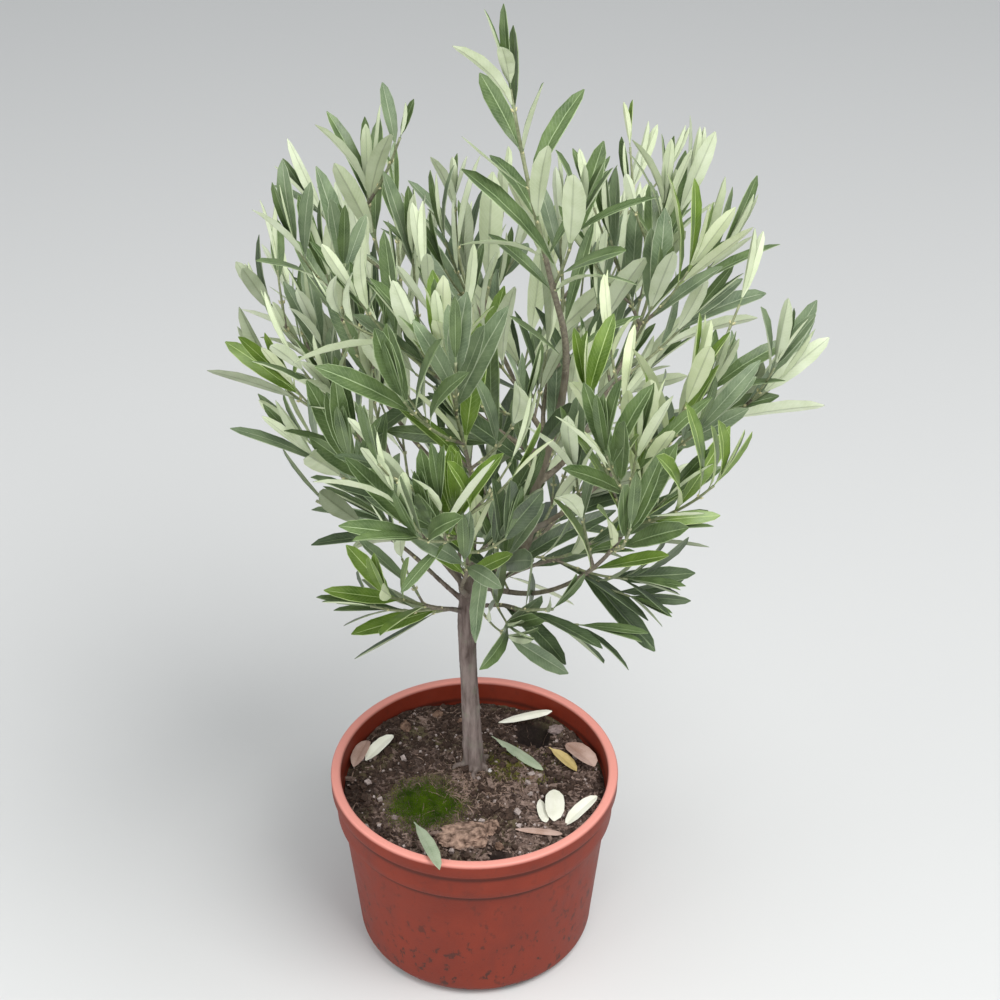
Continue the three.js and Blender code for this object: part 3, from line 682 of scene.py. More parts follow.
def shoot_line(foot, tip, bow, lift, phase):
    bend = lerp(foot, tip, bow)
    bend[2] = lerp(foot[2], tip[2], lift)
    side = unit(np.cross(tip - foot, UP))

    def point(t):
        sway = LIMB_SWAY * math.sin(2 * math.pi * t + phase) * 4 * t * (1 - t)
        return (1 - t) ** 2 * foot + 2 * t * (1 - t) * bend + t * t * tip + side * sway

    return Line(point)


def radius_along(stations):
    return lambda share: float(np.interp(share * (len(stations) - 1), range(len(stations)), stations[:, 3]))


def point_at_height(line, height):
    shares = np.linspace(0, 1, 801)
    heights = [line.at(s)[2] for s in shares]
    return line.at(float(np.interp(height, heights, shares)))


trunk_line = smooth_line(TRUNK_STATIONS[:, :3] + TRUNK_BASE)
leader_line = smooth_line(LEADER_STATIONS[:, :3])
trunk_radius = radius_along(TRUNK_STATIONS)
leader_radius = radius_along(LEADER_STATIONS)

shoot_lines = []
for index, (_, start, bearing, reach, top, bow, lift, _) in enumerate(SHOOTS):
    carrier = trunk_line if start < FORK_HEIGHT else leader_line
    turn = math.radians(bearing)
    tip = CROWN_CENTRE + np.array([math.cos(turn) * reach, math.sin(turn) * reach, top])
    shoot_lines.append(shoot_line(point_at_height(carrier, start), tip, bow, lift, index))


def limb(line, radius_at, sides, steps, start=0.0, end=1.0):
    """The rings of a tapering limb round its line, closed at both ends."""
    shares = np.linspace(start, end, steps + 1)
    heading = line.heading(shares[0])
    across = unit(np.cross(heading, [1.0, 0.3, 0.1]))
    vertices, faces = [], []
    for share in shares:
        heading = line.heading(share)
        across = unit(across - heading * across.dot(heading))
        other = np.cross(heading, across)
        centre = line.at(share)
        for k in range(sides):
            angle = 2 * math.pi * k / sides
            out = across * math.cos(angle) + other * math.sin(angle)
            vertices.append(centre + out * radius_at(share, angle))
    for i in range(steps):
        for k in range(sides):
            a, b = i * sides + k, i * sides + (k + 1) % sides
            faces.append((a, b, b + sides, a + sides))
    faces.append(tuple(range(sides))[::-1])
    faces.append(tuple(range(steps * sides, (steps + 1) * sides)))
    return np.array(vertices) * MM, faces


def gather(parts):
    """Several shapes as one list of corners and one of faces."""
    vertices, faces = [], []
    for part_vertices, part_faces in parts:
        start = len(vertices)
        vertices.extend(part_vertices)
        faces.extend(tuple(start + i for i in face) for face in part_faces)
    return vertices, faces


def flared_trunk(share, angle):
    flare = max(0.0, 1 - share * trunk_line.length / ROOT_FLARE_HEIGHT) ** 2
    lobes = 1 + FLARE_LOBE_DEPTH * math.cos(FLARE_LOBES * angle)
    uneven = 1 + 0.035 * math.sin(2 * angle + 5 * share) + 0.03 * math.sin(3 * angle - 9 * share)
    return (trunk_radius(share) + ROOT_FLARE * flare * lobes) * uneven


def slim_leader(share, angle):
    """The leader leaves the trunk's head at full width and soon slims."""
    return leader_radius(share) * lerp(1.0, LEADER_SLIMNESS, min(1.0, share * 12))


def bough_radius(bare):
    """A bough swells into a collar where it leaves its carrier."""
    return lambda share, angle: (lerp(BOUGH_RADIUS_FOOT, BOUGH_RADIUS_END, share / bare)
                                 + COLLAR_SWELL * math.exp(-(share / bare) * 9))


wood_parts = [
    limb(trunk_line, flared_trunk, sides=40, steps=90),
    limb(leader_line, slim_leader, sides=24, steps=90, end=LEADER_BARE_SHARE + OVERLAP),
]
for bearing, reach in ROOTS:
    way = np.array([math.cos(math.radians(bearing)), math.sin(math.radians(bearing)), 0])
    aside = np.cross(way, UP)
    foot = TRUNK_BASE + UP * ROOT_HEIGHT
    root_line = smooth_line([
        foot + UP * 4, foot + way * 8 + UP * 1.6,
        foot + way * reach * 0.7 + aside * 2, foot + way * reach - UP * 4,
    ])
    wood_parts.append(limb(root_line, lambda share, angle: lerp(*ROOT_RADII, share), sides=12, steps=20))
for line, (*_, bare) in zip(shoot_lines, SHOOTS):
    wood_parts.append(limb(line, bough_radius(bare), sides=14, steps=40, end=bare + OVERLAP))
wood_vertices, wood_faces = gather(wood_parts)
wood = mesh_piece("bark_of_trunk_and_boughs", wood_vertices, wood_faces, [], [0] * len(wood_faces))
grown_together = wood.modifiers.new("grown_together", "REMESH")
grown_together.mode = "VOXEL"
grown_together.voxel_size = SKIN_GRAIN
eased = wood.modifiers.new("eased", "SMOOTH")
eased.factor = 0.6
eased.iterations = 6
apply_modifiers(wood)

# Fissures run up the trunk, and old pruning scars stand out of it, each with a sunk middle
TRUNK_FISSURES = 0.00042
BOUGH_FISSURES = 0.00018
SCAR_RISE = 0.0011
SCAR_SINK = 0.0009
SCAR_OUT = 7
# Height, bearing and size of each scar, in millimetres and degrees
SCARS = [(158, 200, 3.2), (197, -30, 2.6), (226, 100, 3.0), (252, -110, 2.8), (281, 20, 3.0), (338, -60, 2.0)]
scar_spots = []
for height, bearing, size in SCARS:
    centre = point_at_height(trunk_line if height < FORK_HEIGHT else leader_line, height)
    way = np.array([math.cos(math.radians(bearing)), math.sin(math.radians(bearing)), 0])
    scar_spots.append((Vector((centre + way * SCAR_OUT) * MM), size * MM))
wood.data.update()
moved = []
for vertex in wood.data.vertices:
    spot, out = vertex.co, vertex.normal
    depth = TRUNK_FISSURES if spot.z < FORK_HEIGHT * MM else BOUGH_FISSURES
    fissure = noise.noise(Vector((spot.x * 620, spot.y * 620, spot.z * 62)))
    fine = noise.noise(Vector((spot.x * 1500, spot.y * 1500, spot.z * 260)))
    push = depth * (abs(fissure) * -1.3 + 0.35 + 0.5 * fine)
    for scar, size in scar_spots:
        away = (spot - scar).length / size
        if away < 3:
            push += SCAR_RISE * math.exp(-away * away) - SCAR_SINK * math.exp(-(away * 2.4) ** 2)
    moved.append(spot + out * push)
for vertex, place in zip(wood.data.vertices, moved):
    vertex.co = place
smooth_by_angle(wood, 60)

bark = Finish("olive_bark", 0.88, 0.25)
ridges = bark.mottle(260, 6, 0.62, bark.stretched(1, 1, 0.14))
patches = bark.mottle(48, 4, 0.55)
skin = bark.blend(bark.between(ridges, 0.34, 0.64), (0.112, 0.082, 0.072), (0.325, 0.262, 0.240))
young_wood = bark.blend(bark.between(ridges, 0.34, 0.64), (0.105, 0.086, 0.062), (0.225, 0.195, 0.145))
shaded_wood = bark.blend(bark.between(ridges, 0.34, 0.64), (0.072, 0.050, 0.043), (0.190, 0.148, 0.134))
skin = bark.blend(bark.between(bark.height(), 0.190, 0.260, 0, 0.85), skin, shaded_wood)
skin = bark.blend(bark.between(bark.height(), 0.300, 0.350), skin, young_wood)
skin = bark.blend(bark.between(patches, 0.50, 0.68, 0, 0.5), skin, (0.270, 0.240, 0.210))
lichen = bark.maths("MULTIPLY", bark.between(bark.mottle(95, 5, 0.6), 0.58, 0.68), 0.45)
skin = bark.blend(lichen, skin, (0.200, 0.225, 0.150))
damp = bark.between(bark.height(), 0.155, 0.135, 0, 0.55)
bark.colour(bark.blend(damp, skin, (0.075, 0.055, 0.042)))
bark.relief(ridges, 0.0006, 0.7)
wood.data.materials.append(bark.material)
dress(wood, "bark", "trunk", "leader", *[f"bough_{name}" for name, *_ in SHOOTS])

# Twigs
# Green and grey young shoots that grow on from the boughs. Each carries side twigs by the same
# seeded rule as the solids, and shorter finer ones where those have room. All taper to their tips.
NODE_SPACING = 26
SPACING_SPREAD = 0.2
TURN_SPREAD = 0.5
SIDE_TWIG_CHANCE = 0.6
FINE_TWIG_CHANCE = 0.35
TOP_TWIG_CHANCE = 0.12
SIDE_TWIG_ANGLE = 44
SIDE_TWIG_NODES = 3
SIDE_TWIG_MORE_NODES = 1.6
SIDE_TWIG_LIFT = 0.16
SIDE_TWIG_OFFSET = 3.2
SPUR_CHANCE = 0.42
SPUR_ANGLE = 36
SPUR_NODES = 2
SPUR_LIFT = 0.3
SPUR_APART = 8
SIDE_TWIG_YOUTH = 0.25
SPUR_YOUTH = 0.35
# Radius of a twig at its foot and at its tip
MAIN_TIP_RADIUS = 0.95
SIDE_TWIG_RADII = (1.25, 0.8)
SPUR_RADII = (1.0, 0.7)
NODE_SWELL = 0.224
NODE_SWELL_REACH = 1.8
TWIG_SIDES = 7
TWIG_STEP = 4
MAIN_WOODY_SHARE = 0.45
WOODY_SHARE = 0.12
# The seeds that each mass keeps for its own draws, and the factors of the stream they start
SEEDS_PER_MASS = 100
SEED_FACTOR = 2654435761
DRAW_FACTOR = 1664525
DRAW_STEP = 1013904223
DRAW_RANGE = 4294967296
TIP_ROOM = 34
REACH_MARGIN = 0.018
TWIG_CLEARANCE = 1.6
TWIG_APART = 5
LIMB_CLEARANCE = 0.6
SPACE_CLEARANCE = 0.4
# How full of fine twigs the masses are, and those that differ from it
FULLNESS = 0.5
FULLNESS_OF = {
    "low_left": 0.6, "far_left": 0.3, "left": 0.35, "low_front_left": 0.9, "low_front_right": 0.8,
    "low_right": 0.6, "back_left": 0.4, "low_back": 0.8, "high_back": 0.25, "high_back_right": 0.25,
    "back": 0.35, "back_right": 0.4, "upper_left": 0.2, "high_left": 0.2,
}
INNER_CHANCE = 0.38
INNER_ANGLE = 52
INNER_APART = 4
# The crown's egg-shaped outline: its axis, its radius at each height, and its lower edge
CROWN_AXIS = (20, 12)
CROWN_HEIGHTS = [255, 300, 350, 410, 460, 510, 560, 610, 650, 690, 720, 740, 780]
CROWN_RADII = [112, 134, 146, 158, 184, 232, 228, 198, 164, 120, 76, 52, 48]
LOW_EDGE = 262
LOW_EDGE_SLOPE = 0.6
FARTHEST_RIGHT = {"front_right": 168}
# The crown's top edge as the photograph's side sees it: between its tufts the sky comes down
SKYLINE_PLACES = [-180, -156, -131, -112, -98, -68, -56, -44, -18, 60, 84, 108, 128, 190, 228, 249]
SKYLINE_HEIGHTS = [545, 630, 690, 708, 750, 748, 732, 694, 688, 692, 684, 692, 722, 720, 646, 560]
LEADER_SKYLINE = 767
SKYLINE_SLOPE = 0.69


def draws_from(seed):
    """A repeatable stream of numbers from 0 to 1, the same as the solids have."""
    state = [(seed * SEED_FACTOR) % DRAW_RANGE]

    def draw():
        state[0] = (state[0] * DRAW_FACTOR + DRAW_STEP) % DRAW_RANGE
        return state[0] / DRAW_RANGE

    return draw


masses = [{
    "name": "top", "foot": slim_leader(LEADER_BARE_SHARE, 0), "chance": TOP_TWIG_CHANCE, "full": 0.0,
    "line": leader_line.stretch(LEADER_BARE_SHARE, 1), "bare": leader_line.stretch(0, LEADER_BARE_SHARE),
}]
for line, (name, *_, bare) in zip(shoot_lines, SHOOTS):
    masses.append({
        "name": name, "foot": BOUGH_RADIUS_END, "chance": SIDE_TWIG_CHANCE,
        "full": FULLNESS_OF.get(name, FULLNESS),
        "line": line.stretch(bare, 1), "bare": line.stretch(0, bare),
    })


def distance_to(points, starts, ways):
    """How far each point lies from each straight stretch."""
    offset = points[:, None, :] - starts[None]
    along = np.clip((offset * ways).sum(-1) / (ways * ways).sum(-1), 0, 1)
    return np.linalg.norm(offset - ways * along[..., None], axis=-1)


def stretches(chains):
    starts = np.concatenate([chain[:-1] for chain in chains])
    ways = np.concatenate([np.diff(chain, axis=0) for chain in chains])
    return starts, ways


space_chains = [mass["line"].chain() for mass in masses]
space_starts, space_ways = stretches(space_chains)
space_owner = np.repeat(np.arange(len(masses)), CHAIN_STEPS)
limb_starts, limb_ways = stretches([trunk_line.chain(), *[mass["bare"].chain() for mass in masses]])
limb_radii = np.repeat([trunk_radius(0), leader_radius(0)] + [BOUGH_RADIUS_FOOT] * len(SHOOTS), CHAIN_STEPS)

reach_margin = REACH_MARGIN * (np.array(cad_box[1]) - np.array(cad_box[0]))
reach_low = (np.array(cad_box[0]) - reach_margin) / MM
reach_high = (np.array(cad_box[1]) + reach_margin) / MM


def inside_reach(points, room=0.0):
    """Inside the solids' own reach, and inside the crown's egg-shaped outline."""
    out = np.hypot(points[:, 0] - CROWN_AXIS[0], points[:, 1] - CROWN_AXIS[1])
    edge = np.interp(points[:, 2] + room * 0.6, CROWN_HEIGHTS, CROWN_RADII)
    low = LOW_EDGE - LOW_EDGE_SLOPE * points[:, 1]
    return bool(((points > reach_low + room) & (points < reach_high - room)).all()
                and (out < edge - room).all() and (points[:, 2] > low).all())


def under_skyline(mass_index, points, allowance=0.0):
    """Below the crown's top edge, from which only the leader stands out."""
    skyline = LEADER_SKYLINE if mass_index == 0 else np.interp(points[:, 0], SKYLINE_PLACES, SKYLINE_HEIGHTS)
    return bool((points[:, 2] + points[:, 1] * SKYLINE_SLOPE <= skyline + allowance).all())


def inside_space(mass_index, points):
    """A mass keeps to the space nearer to its own line than to any other, clear of the limbs."""
    if not inside_reach(points):
        return False
    if not (distance_to(points, limb_starts, limb_ways) > limb_radii + LIMB_CLEARANCE).all():
        return False
    if not under_skyline(mass_index, points):
        return False
    if mass_index is None:
        return True
    if points[:, 0].max() > FARTHEST_RIGHT.get(masses[mass_index]["name"], math.inf):
        return False
    away = distance_to(points, space_starts, space_ways)
    own = away[:, space_owner == mass_index].min(1)
    other = away[:, space_owner != mass_index].min(1)
    return bool((other > own + SPACE_CLEARANCE).all())


def near_any(points, chains, distance):
    starts, ways = stretches(chains)
    return bool((distance_to(points, starts, ways) < distance).any())


def turned(vector, axis, angle):
    return (vector * math.cos(angle) + np.cross(axis, vector) * math.sin(angle)
            + axis * axis.dot(vector) * (1 - math.cos(angle)))


def stations_along(line, draw):
    """The nodes where leaves stand in opposite pairs, each a quarter turn from the last."""
    shares = []
    run = NODE_SPACING * (0.5 + 0.3 * draw())
    while run < line.length - NODE_SPACING / 3:
        shares.append(run / line.length)
        run += NODE_SPACING * (1 + (draw() - 0.5) * SPACING_SPREAD)
    shares.append(1.0)
    start_turn = draw() * math.pi
    stations = []
    for i, share in enumerate(shares):
        turn = start_turn + i * math.pi / 2 + (draw() - 0.5) * TURN_SPREAD
        stations.append(station_at(line, share, turn, i / max(1, len(shares) - 1)))
    return stations


def station_at(line, share, turn, growth):
    along = line.heading(share)
    side = unit(np.cross(along, UP))
    return {
        "point": line.at(share), "along": along, "side": side, "turn": turn, "growth": growth, "share": share,
    }


def way_off(station, turn, spread):
    outward = turned(station["side"], station["along"], turn)
    return station["along"] * math.cos(spread) + outward * math.sin(spread)


def side_twig_points(station, turn, draw, angle=SIDE_TWIG_ANGLE, nodes=None, lift=SIDE_TWIG_LIFT):
    way = way_off(station, turn, math.radians(angle))
    points = [station["point"] + station["along"] * SIDE_TWIG_OFFSET]
    count = nodes or SIDE_TWIG_NODES + int(draw() * SIDE_TWIG_MORE_NODES)
    for i in range(count):
        way = unit(way + UP * lift)
        points.append(points[i] + way * NODE_SPACING * (0.75 + 0.2 * draw()))
    return np.array(points)


def twig_fits(mass_index, points, chains, apart=TWIG_APART):
    return (inside_reach(points[-1:], TIP_ROOM) and inside_space(mass_index, points[1:])
            and not near_any(points[2:], chains, apart))


def twig_through(points, draw, youth, radii):
    line = smooth_line(points)
    return {"line": line, "stations": stations_along(line, draw), "youth": youth, "radii": radii}


def grow_twigs(mass_index):
    """The main stem of a mass, its side twigs, and the short spurs on those."""
    mass = masses[mass_index]
    stations = stations_along(mass["line"], draws_from(mass_index * SEEDS_PER_MASS + 1))
    radii = (mass["foot"], MAIN_TIP_RADIUS)
    twigs = [{"line": mass["line"], "stations": stations, "youth": 0.0, "radii": radii}]
    chains = [space_chains[mass_index]]
    for i, station in enumerate(stations[:-1]):
        for j in range(2):
            draw = draws_from(mass_index * SEEDS_PER_MASS + 10 + i * 2 + j)
            points = side_twig_points(station, station["turn"] + j * math.pi, draw)
            chance = mass["chance"] + FINE_TWIG_CHANCE * mass["full"]
            if draw() > chance or not twig_fits(mass_index, points, chains):
                continue
            twigs.append(twig_through(points, draw, SIDE_TWIG_YOUTH, SIDE_TWIG_RADII))
            chains.append(points)
    draw = draws_from(mass_index * SEEDS_PER_MASS + 90)
    for twig in list(twigs):
        for station in twig["stations"][1 if twig is twigs[0] else 0:-1]:
            for j in range(2):
                turn = station["turn"] + j * math.pi
                points = side_twig_points(station, turn, draw, SPUR_ANGLE, SPUR_NODES, SPUR_LIFT)
                chance = SPUR_CHANCE * mass["full"]
                if draw() > chance or not twig_fits(mass_index, points, chains, SPUR_APART):
                    continue
                twigs.append(twig_through(points, draw, SPUR_YOUTH, SPUR_RADII))
                chains.append(points)
    return twigs, chains


def twig_radius(twig):
    """Slim between its nodes, and a little swollen at each."""
    shares = np.array([s["share"] for s in twig["stations"]])

    def radius(share, angle):
        away = (shares - share) * twig["line"].length / NODE_SWELL_REACH
        return lerp(*twig["radii"], share) + NODE_SWELL * np.exp(-away ** 2).sum()

    return radius


for index, mass in enumerate(masses):
    mass["twigs"], mass["chains"] = grow_twigs(index)

# Short leafy twigs also stand on the bare feet of the boughs and leader, inside the crown
inner = {"name": "inner", "twigs": [], "chains": [chain for mass in masses for chain in mass["chains"]]}
for index, mass in enumerate(masses):
    draw = draws_from(index * SEEDS_PER_MASS + 95)
    for station in stations_along(mass["bare"], draw)[:-1]:
        for j in range(2):
            turn = station["turn"] + j * math.pi
            points = side_twig_points(station, turn, draw, INNER_ANGLE, SPUR_NODES, SPUR_LIFT)
            if draw() > INNER_CHANCE or not twig_fits(None, points, inner["chains"], INNER_APART):
                continue
            inner["twigs"].append(twig_through(points, draw, SPUR_YOUTH, SPUR_RADII))
            inner["chains"].append(points)

twig_parts, twig_kinds = [], []
for mass in [*masses, inner]:
    for number, twig in enumerate(mass["twigs"]):
        steps = max(6, int(twig["line"].length / TWIG_STEP))
        twig_parts.append(limb(twig["line"], twig_radius(twig), TWIG_SIDES, steps))
        woody = MAIN_WOODY_SHARE if number == 0 and mass is not inner else WOODY_SHARE
        twig_kinds.extend(0 if i // TWIG_SIDES < steps * woody else 1 for i in range(steps * TWIG_SIDES))
        twig_kinds.extend([0, 1])
twig_vertices, twig_faces = gather(twig_parts)
twigs_piece = mesh_piece("twigs", twig_vertices, twig_faces, [
    speckled("twig_bark", (0.150, 0.125, 0.095), (0.270, 0.240, 0.185), 420, 0.85, 0.0002),
    speckled("green_twig", (0.190, 0.215, 0.110), (0.330, 0.355, 0.215), 300, 0.7, 0.0001),
], twig_kinds)
dress(twigs_piece, "foliage", *[f"foliage_{mass['name']}" for mass in masses])

# Buds
# The small cream-green buds that sit in opposite pairs where the leaves leave the twigs. Each is a
# little spindle of folded scales that grows out of the twig's skin.
BUD_LENGTH = 4.6
BUD_RADIUS = 1.15
BUD_LEAN = 32
BUD_WAIST = 0.45
bud_faces = [(0, 1, 2), (0, 2, 3), (0, 3, 4), (0, 4, 1), (5, 2, 1), (5, 3, 2), (5, 4, 3), (5, 1, 4)]
bud_parts = []
for mass in [*masses, inner]:
    for twig in mass["twigs"]:
        for station in twig["stations"][:-1]:
            for opposite in (0, math.pi):
                way = way_off(station, station["turn"] + opposite, math.radians(BUD_LEAN))
                side = unit(np.cross(way, station["along"]))
                other = np.cross(way, side)
                waist = station["point"] + way * BUD_LENGTH * BUD_WAIST
                belt = [waist + out * BUD_RADIUS for out in (side, other, -side, -other)]
                corners = [station["point"] + way * BUD_LENGTH, *belt, station["point"]]
                bud_parts.append((np.array(corners) * MM, bud_faces))
bud_vertices, bud_face_list = gather(bud_parts)
buds = mesh_piece("buds", bud_vertices, bud_face_list, [
    speckled("bud_scale", (0.480, 0.450, 0.230), (0.680, 0.640, 0.400), 500, 0.6, 0.0001),
], [0] * len(bud_face_list))
dress(buds, "foliage")

# Leaves
# Leathery, lance-shaped leaves in opposite pairs, green and faintly glossy above with a pale
# midrib, silvery and felted below, their margins rolled under. This year's are lime green,
# the upper ones grey-green, and the lower and inner ones deep green: partly the older leaves'
# own darker green, partly painted shade, with their backs darkened as if in shade.
LEAF_LENGTH = 82
LEAF_LENGTH_SPREAD = 0.3
LEAF_WIDTH = 15.2
LEAF_TIP_SIZE = 0.74
LEAF_ANGLE_FOOT = 48
LEAF_ANGLE_TIP = 14
LEAF_ANGLE_SPREAD = 20
LEAF_ROLL_SPREAD = 60
LEAF_LIFT = 0.6
LEADER_LEAF_LIFT = 0.05
LOW_LEAF_LIFT = -0.05
LEAST_LIFT_SHARE = 0.15
FACE_LIFT = 0.2
# The way from the crown to the viewer: a leaf that would point along it is turned up
SIGHT = unit(np.array([0.0, -0.82, 0.57]))
SIGHT_LIMIT = 0.75
SIGHT_LIFT = 0.9
LOW_HEIGHT = 330
HIGH_HEIGHT = 470
LEAF_ARCH = 0.19
ARCH_RANGE = (-0.3, 2.1)
FOLD_RANGE = (0.3, 1.4)
WIDTH_RANGE = (0.84, 1.14)
LEAF_TWIST = 0.9
LEAF_SWAY = 0.12
LEADER_OPENING = 1.4
LEADER_ARCH = 1.4
LOW_LEAF_SIZE = 1.1
LEAF_CLEARANCE = 5.0
TUFT_PLACE = 0.6
# The size and opening of each try at a leaf, from the first choice on, and the same for the pair
# at a twig's end, whose draws are fixed and whose last try is kept
LEAF_TRIALS = [(1, 1), (0.86, 0.75), (0.72, 0.6), (0.6, 1.2)]
TIP_LEAF_LUCK = [0.1, 0.5, 0.5, 0.2, 0.3, 0.5, 0.5, 0.9]
TIP_LEAF_TRIALS = [(0.88, 0.5), (0.7, 0.5), (0.52, 0.5)]
TIP_LEAF_ALLOWANCE = 6
TIP_LEAF_SLIMNESS = 0.78
# Where across each half of a leaf the painted sheen is brightest, and how far it spreads
SHEEN_PLACE = 0.5
SHEEN_REACH = 0.4
VEINS_ALONG = 130
VEINS_LEAN = 15
# Where a leaf is tested for room: shares of its length and of its half width
LEAF_SAMPLES = np.array([[0.3, 0.5], [0.45, 0.95], [0.6, 0.6], [0.75, 0.4], [0.88, 0], [1, 0]])

# A blade's stations along its length with the half width at each, and the eight points of its
# section: two faces, the midrib, the rolled margins and the vein behind
BLADE_SHARES = np.array([0.0, 0.10, 0.27, 0.50, 0.73, 0.91, 1.0])
BLADE_HALVES = np.array([0.08, 0.16, 0.68, 0.96, 0.95, 0.60, 0.08])
DRIED_HALVES = np.array([0.10, 0.52, 0.90, 1.0, 0.96, 0.66, 0.12])
BLADE_ACROSS = np.array([-1.0, -0.93, -0.05, 0.05, 0.93, 1.0, 0.09, -0.09])
BLADE_RISE = np.array([-0.45, 0.0, -0.10, -0.10, 0.0, -0.45, -0.85, -0.85])
BLADE_FOLD = np.abs(BLADE_ACROSS) * 0.28
BLADE_CREASE = 10
TOP, UNDER, RIB, VEIN = 0, 1, 2, 3
BLADE_KINDS = [RIB, TOP, RIB, TOP, RIB, UNDER, VEIN, UNDER]
RING = len(BLADE_ACROSS)
SPANS = len(BLADE_SHARES) - 1
blade_faces = [
    (i * RING + k, i * RING + (k + 1) % RING, (i + 1) * RING + (k + 1) % RING, (i + 1) * RING + k)
    for i in range(SPANS) for k in range(RING)
]
blade_faces += [tuple(range(RING))[::-1], tuple(range(SPANS * RING, (SPANS + 1) * RING))]
blade_kinds = [RIB] * RING + BLADE_KINDS * (SPANS - 1) + [RIB, TOP]
blade_places = [(BLADE_ACROSS[i % RING], BLADE_SHARES[i // RING]) for face in blade_faces for i in face]


def blade(leaf, halves=BLADE_HALVES):
    """One leaf: its stalk, a blade that arches and twists, folded along a sunk midrib."""
    length, half = leaf["length"], leaf["width"] / 2
    s = BLADE_SHARES[:, None]
    across = np.cross(leaf["along"], leaf["face"])
    arch, twist, sway = leaf["arch"], leaf["twist"], leaf["sway"]
    centre = (leaf["root"] + leaf["along"] * length * s - leaf["face"] * arch * length * s * s
              + across * sway * length * s * s)
    normal = leaf["face"] + leaf["along"] * 2 * arch * s
    normal /= np.linalg.norm(normal, axis=1)[:, None]
    angle = twist * s
    wide = across * np.cos(angle) + normal * np.sin(angle)
    face = normal * np.cos(angle) - across * np.sin(angle)
    reach = (halves * half)[:, None] * BLADE_ACROSS[None]
    thick = np.clip(halves, 0.3, 1)[:, None] * BLADE_RISE[None]
    rise = thick + (halves * half)[:, None] * BLADE_FOLD[None] * leaf["fold"]
    corners = centre[:, None] + wide[:, None] * reach[..., None] + face[:, None] * rise[..., None]
    return corners.reshape(-1, 3) * MM


def leaf_at(station, turn, growth, luck, trial, lift=1.0, opening=1.0, arch=1.0):
    """Leaves turn up to the light, and more so where they would point straight at the viewer."""
    size, fold = trial
    angle = lerp(LEAF_ANGLE_FOOT, LEAF_ANGLE_TIP, growth) + (luck[0] - 0.5) * LEAF_ANGLE_SPREAD
    along = way_off(station, turn, math.radians(angle * fold * opening))
    rise = np.interp(station["point"][2], (LOW_HEIGHT, HIGH_HEIGHT), (LOW_LEAF_LIFT, LEAF_LIFT))
    along = unit(along + UP * rise * lift)
    along = unit(along + UP * SIGHT_LIFT * max(0.0, along.dot(SIGHT) - SIGHT_LIMIT) / (1 - SIGHT_LIMIT))
    face = station["along"] + UP * FACE_LIFT
    face = unit(face - along * face.dot(along))
    face = turned(face, along, math.radians((luck[1] - 0.5) * LEAF_ROLL_SPREAD))
    vigour = lerp(1, LEAF_TIP_SIZE, growth ** 2) * (1 + (luck[2] - 0.5) * LEAF_LENGTH_SPREAD) * size
    vigour *= np.interp(station["point"][2], (LOW_HEIGHT, HIGH_HEIGHT), (LOW_LEAF_SIZE, 1.0))
    return {
        "root": station["point"], "along": along, "face": face, "length": LEAF_LENGTH * vigour,
        "width": LEAF_WIDTH * (0.25 + 0.75 * vigour) * lerp(*WIDTH_RANGE, luck[3]),
        "arch": LEAF_ARCH * lerp(*ARCH_RANGE, luck[4]) * arch, "fold": lerp(*FOLD_RANGE, luck[7]),
        "twist": (luck[5] - 0.5) * LEAF_TWIST, "sway": (luck[6] - 0.5) * LEAF_SWAY,
    }


def leaf_fits(mass_index, leaf, chains, placed):
    """A leaf keeps to its space, clear of the limbs, the twigs and the leaves before it."""
    across = np.cross(leaf["along"], leaf["face"])
    points = []
    for share, reach in LEAF_SAMPLES:
        drop = leaf["face"] * leaf["arch"] * leaf["length"] * share ** 2
        centre = leaf["root"] + leaf["along"] * leaf["length"] * share - drop
        for half in (reach, -reach):
            points.append(centre + across * half * leaf["width"] / 2)
    points = np.array(points)
    if not inside_space(mass_index, points) or near_any(points, chains, TWIG_CLEARANCE):
        return False
    if placed:
        apart = np.linalg.norm(np.concatenate(placed)[:, None] - points[None], axis=-1)
        if (apart < LEAF_CLEARANCE).any():
            return False
    placed.append(points)
    return True


def leafy_nodes(twig):
    """A twig's nodes, with one more close to its tip, where the leaves stand in a tuft."""
    nodes = list(twig["stations"])
    before = nodes[-2]
    share = lerp(before["share"], 1.0, TUFT_PLACE)
    growth = lerp(before["growth"], 1.0, TUFT_PLACE)
    nodes.insert(-1, station_at(twig["line"], share, before["turn"] + math.pi / 2, growth))
    return nodes


YOUNG, FRESH, GREY, DEEP = "young", "fresh", "grey", "deep"
# The odds that a twig's leaves are of each of the four kinds, by mass, and for those not named
KIND_ODDS = {
    "top": (0.0, 0.6, 0.4, 0.0), "front_right": (0.55, 0.35, 0.1, 0.0), "right": (0.25, 0.35, 0.35, 0.05),
    "high_right": (0.1, 0.3, 0.6, 0.0), "upper_left": (0.1, 0.2, 0.7, 0.0),
    "high_left": (0.15, 0.25, 0.6, 0.0), "left": (0.1, 0.25, 0.6, 0.05),
    "front_middle": (0.1, 0.3, 0.45, 0.15), "front": (0.1, 0.3, 0.3, 0.3),
    "high_back": (0.1, 0.3, 0.6, 0.0), "high_back_right": (0.1, 0.3, 0.6, 0.0),
}
OTHER_ODDS = (0.04, 0.3, 0.26, 0.4)
# The share of each twig, from its foot, that has shed most of its leaves
SHED = {
    "upper_left": 0.6, "high_left": 0.6, "far_left": 0.55, "left": 0.5, "high_back": 0.5, "back_left": 0.5,
    "high_right": 0.4, "high_back_right": 0.4, "back": 0.35, "back_right": 0.35, "right": 0.3,
    "front_middle": 0.3,
}
SHED_CHANCE = 0.85

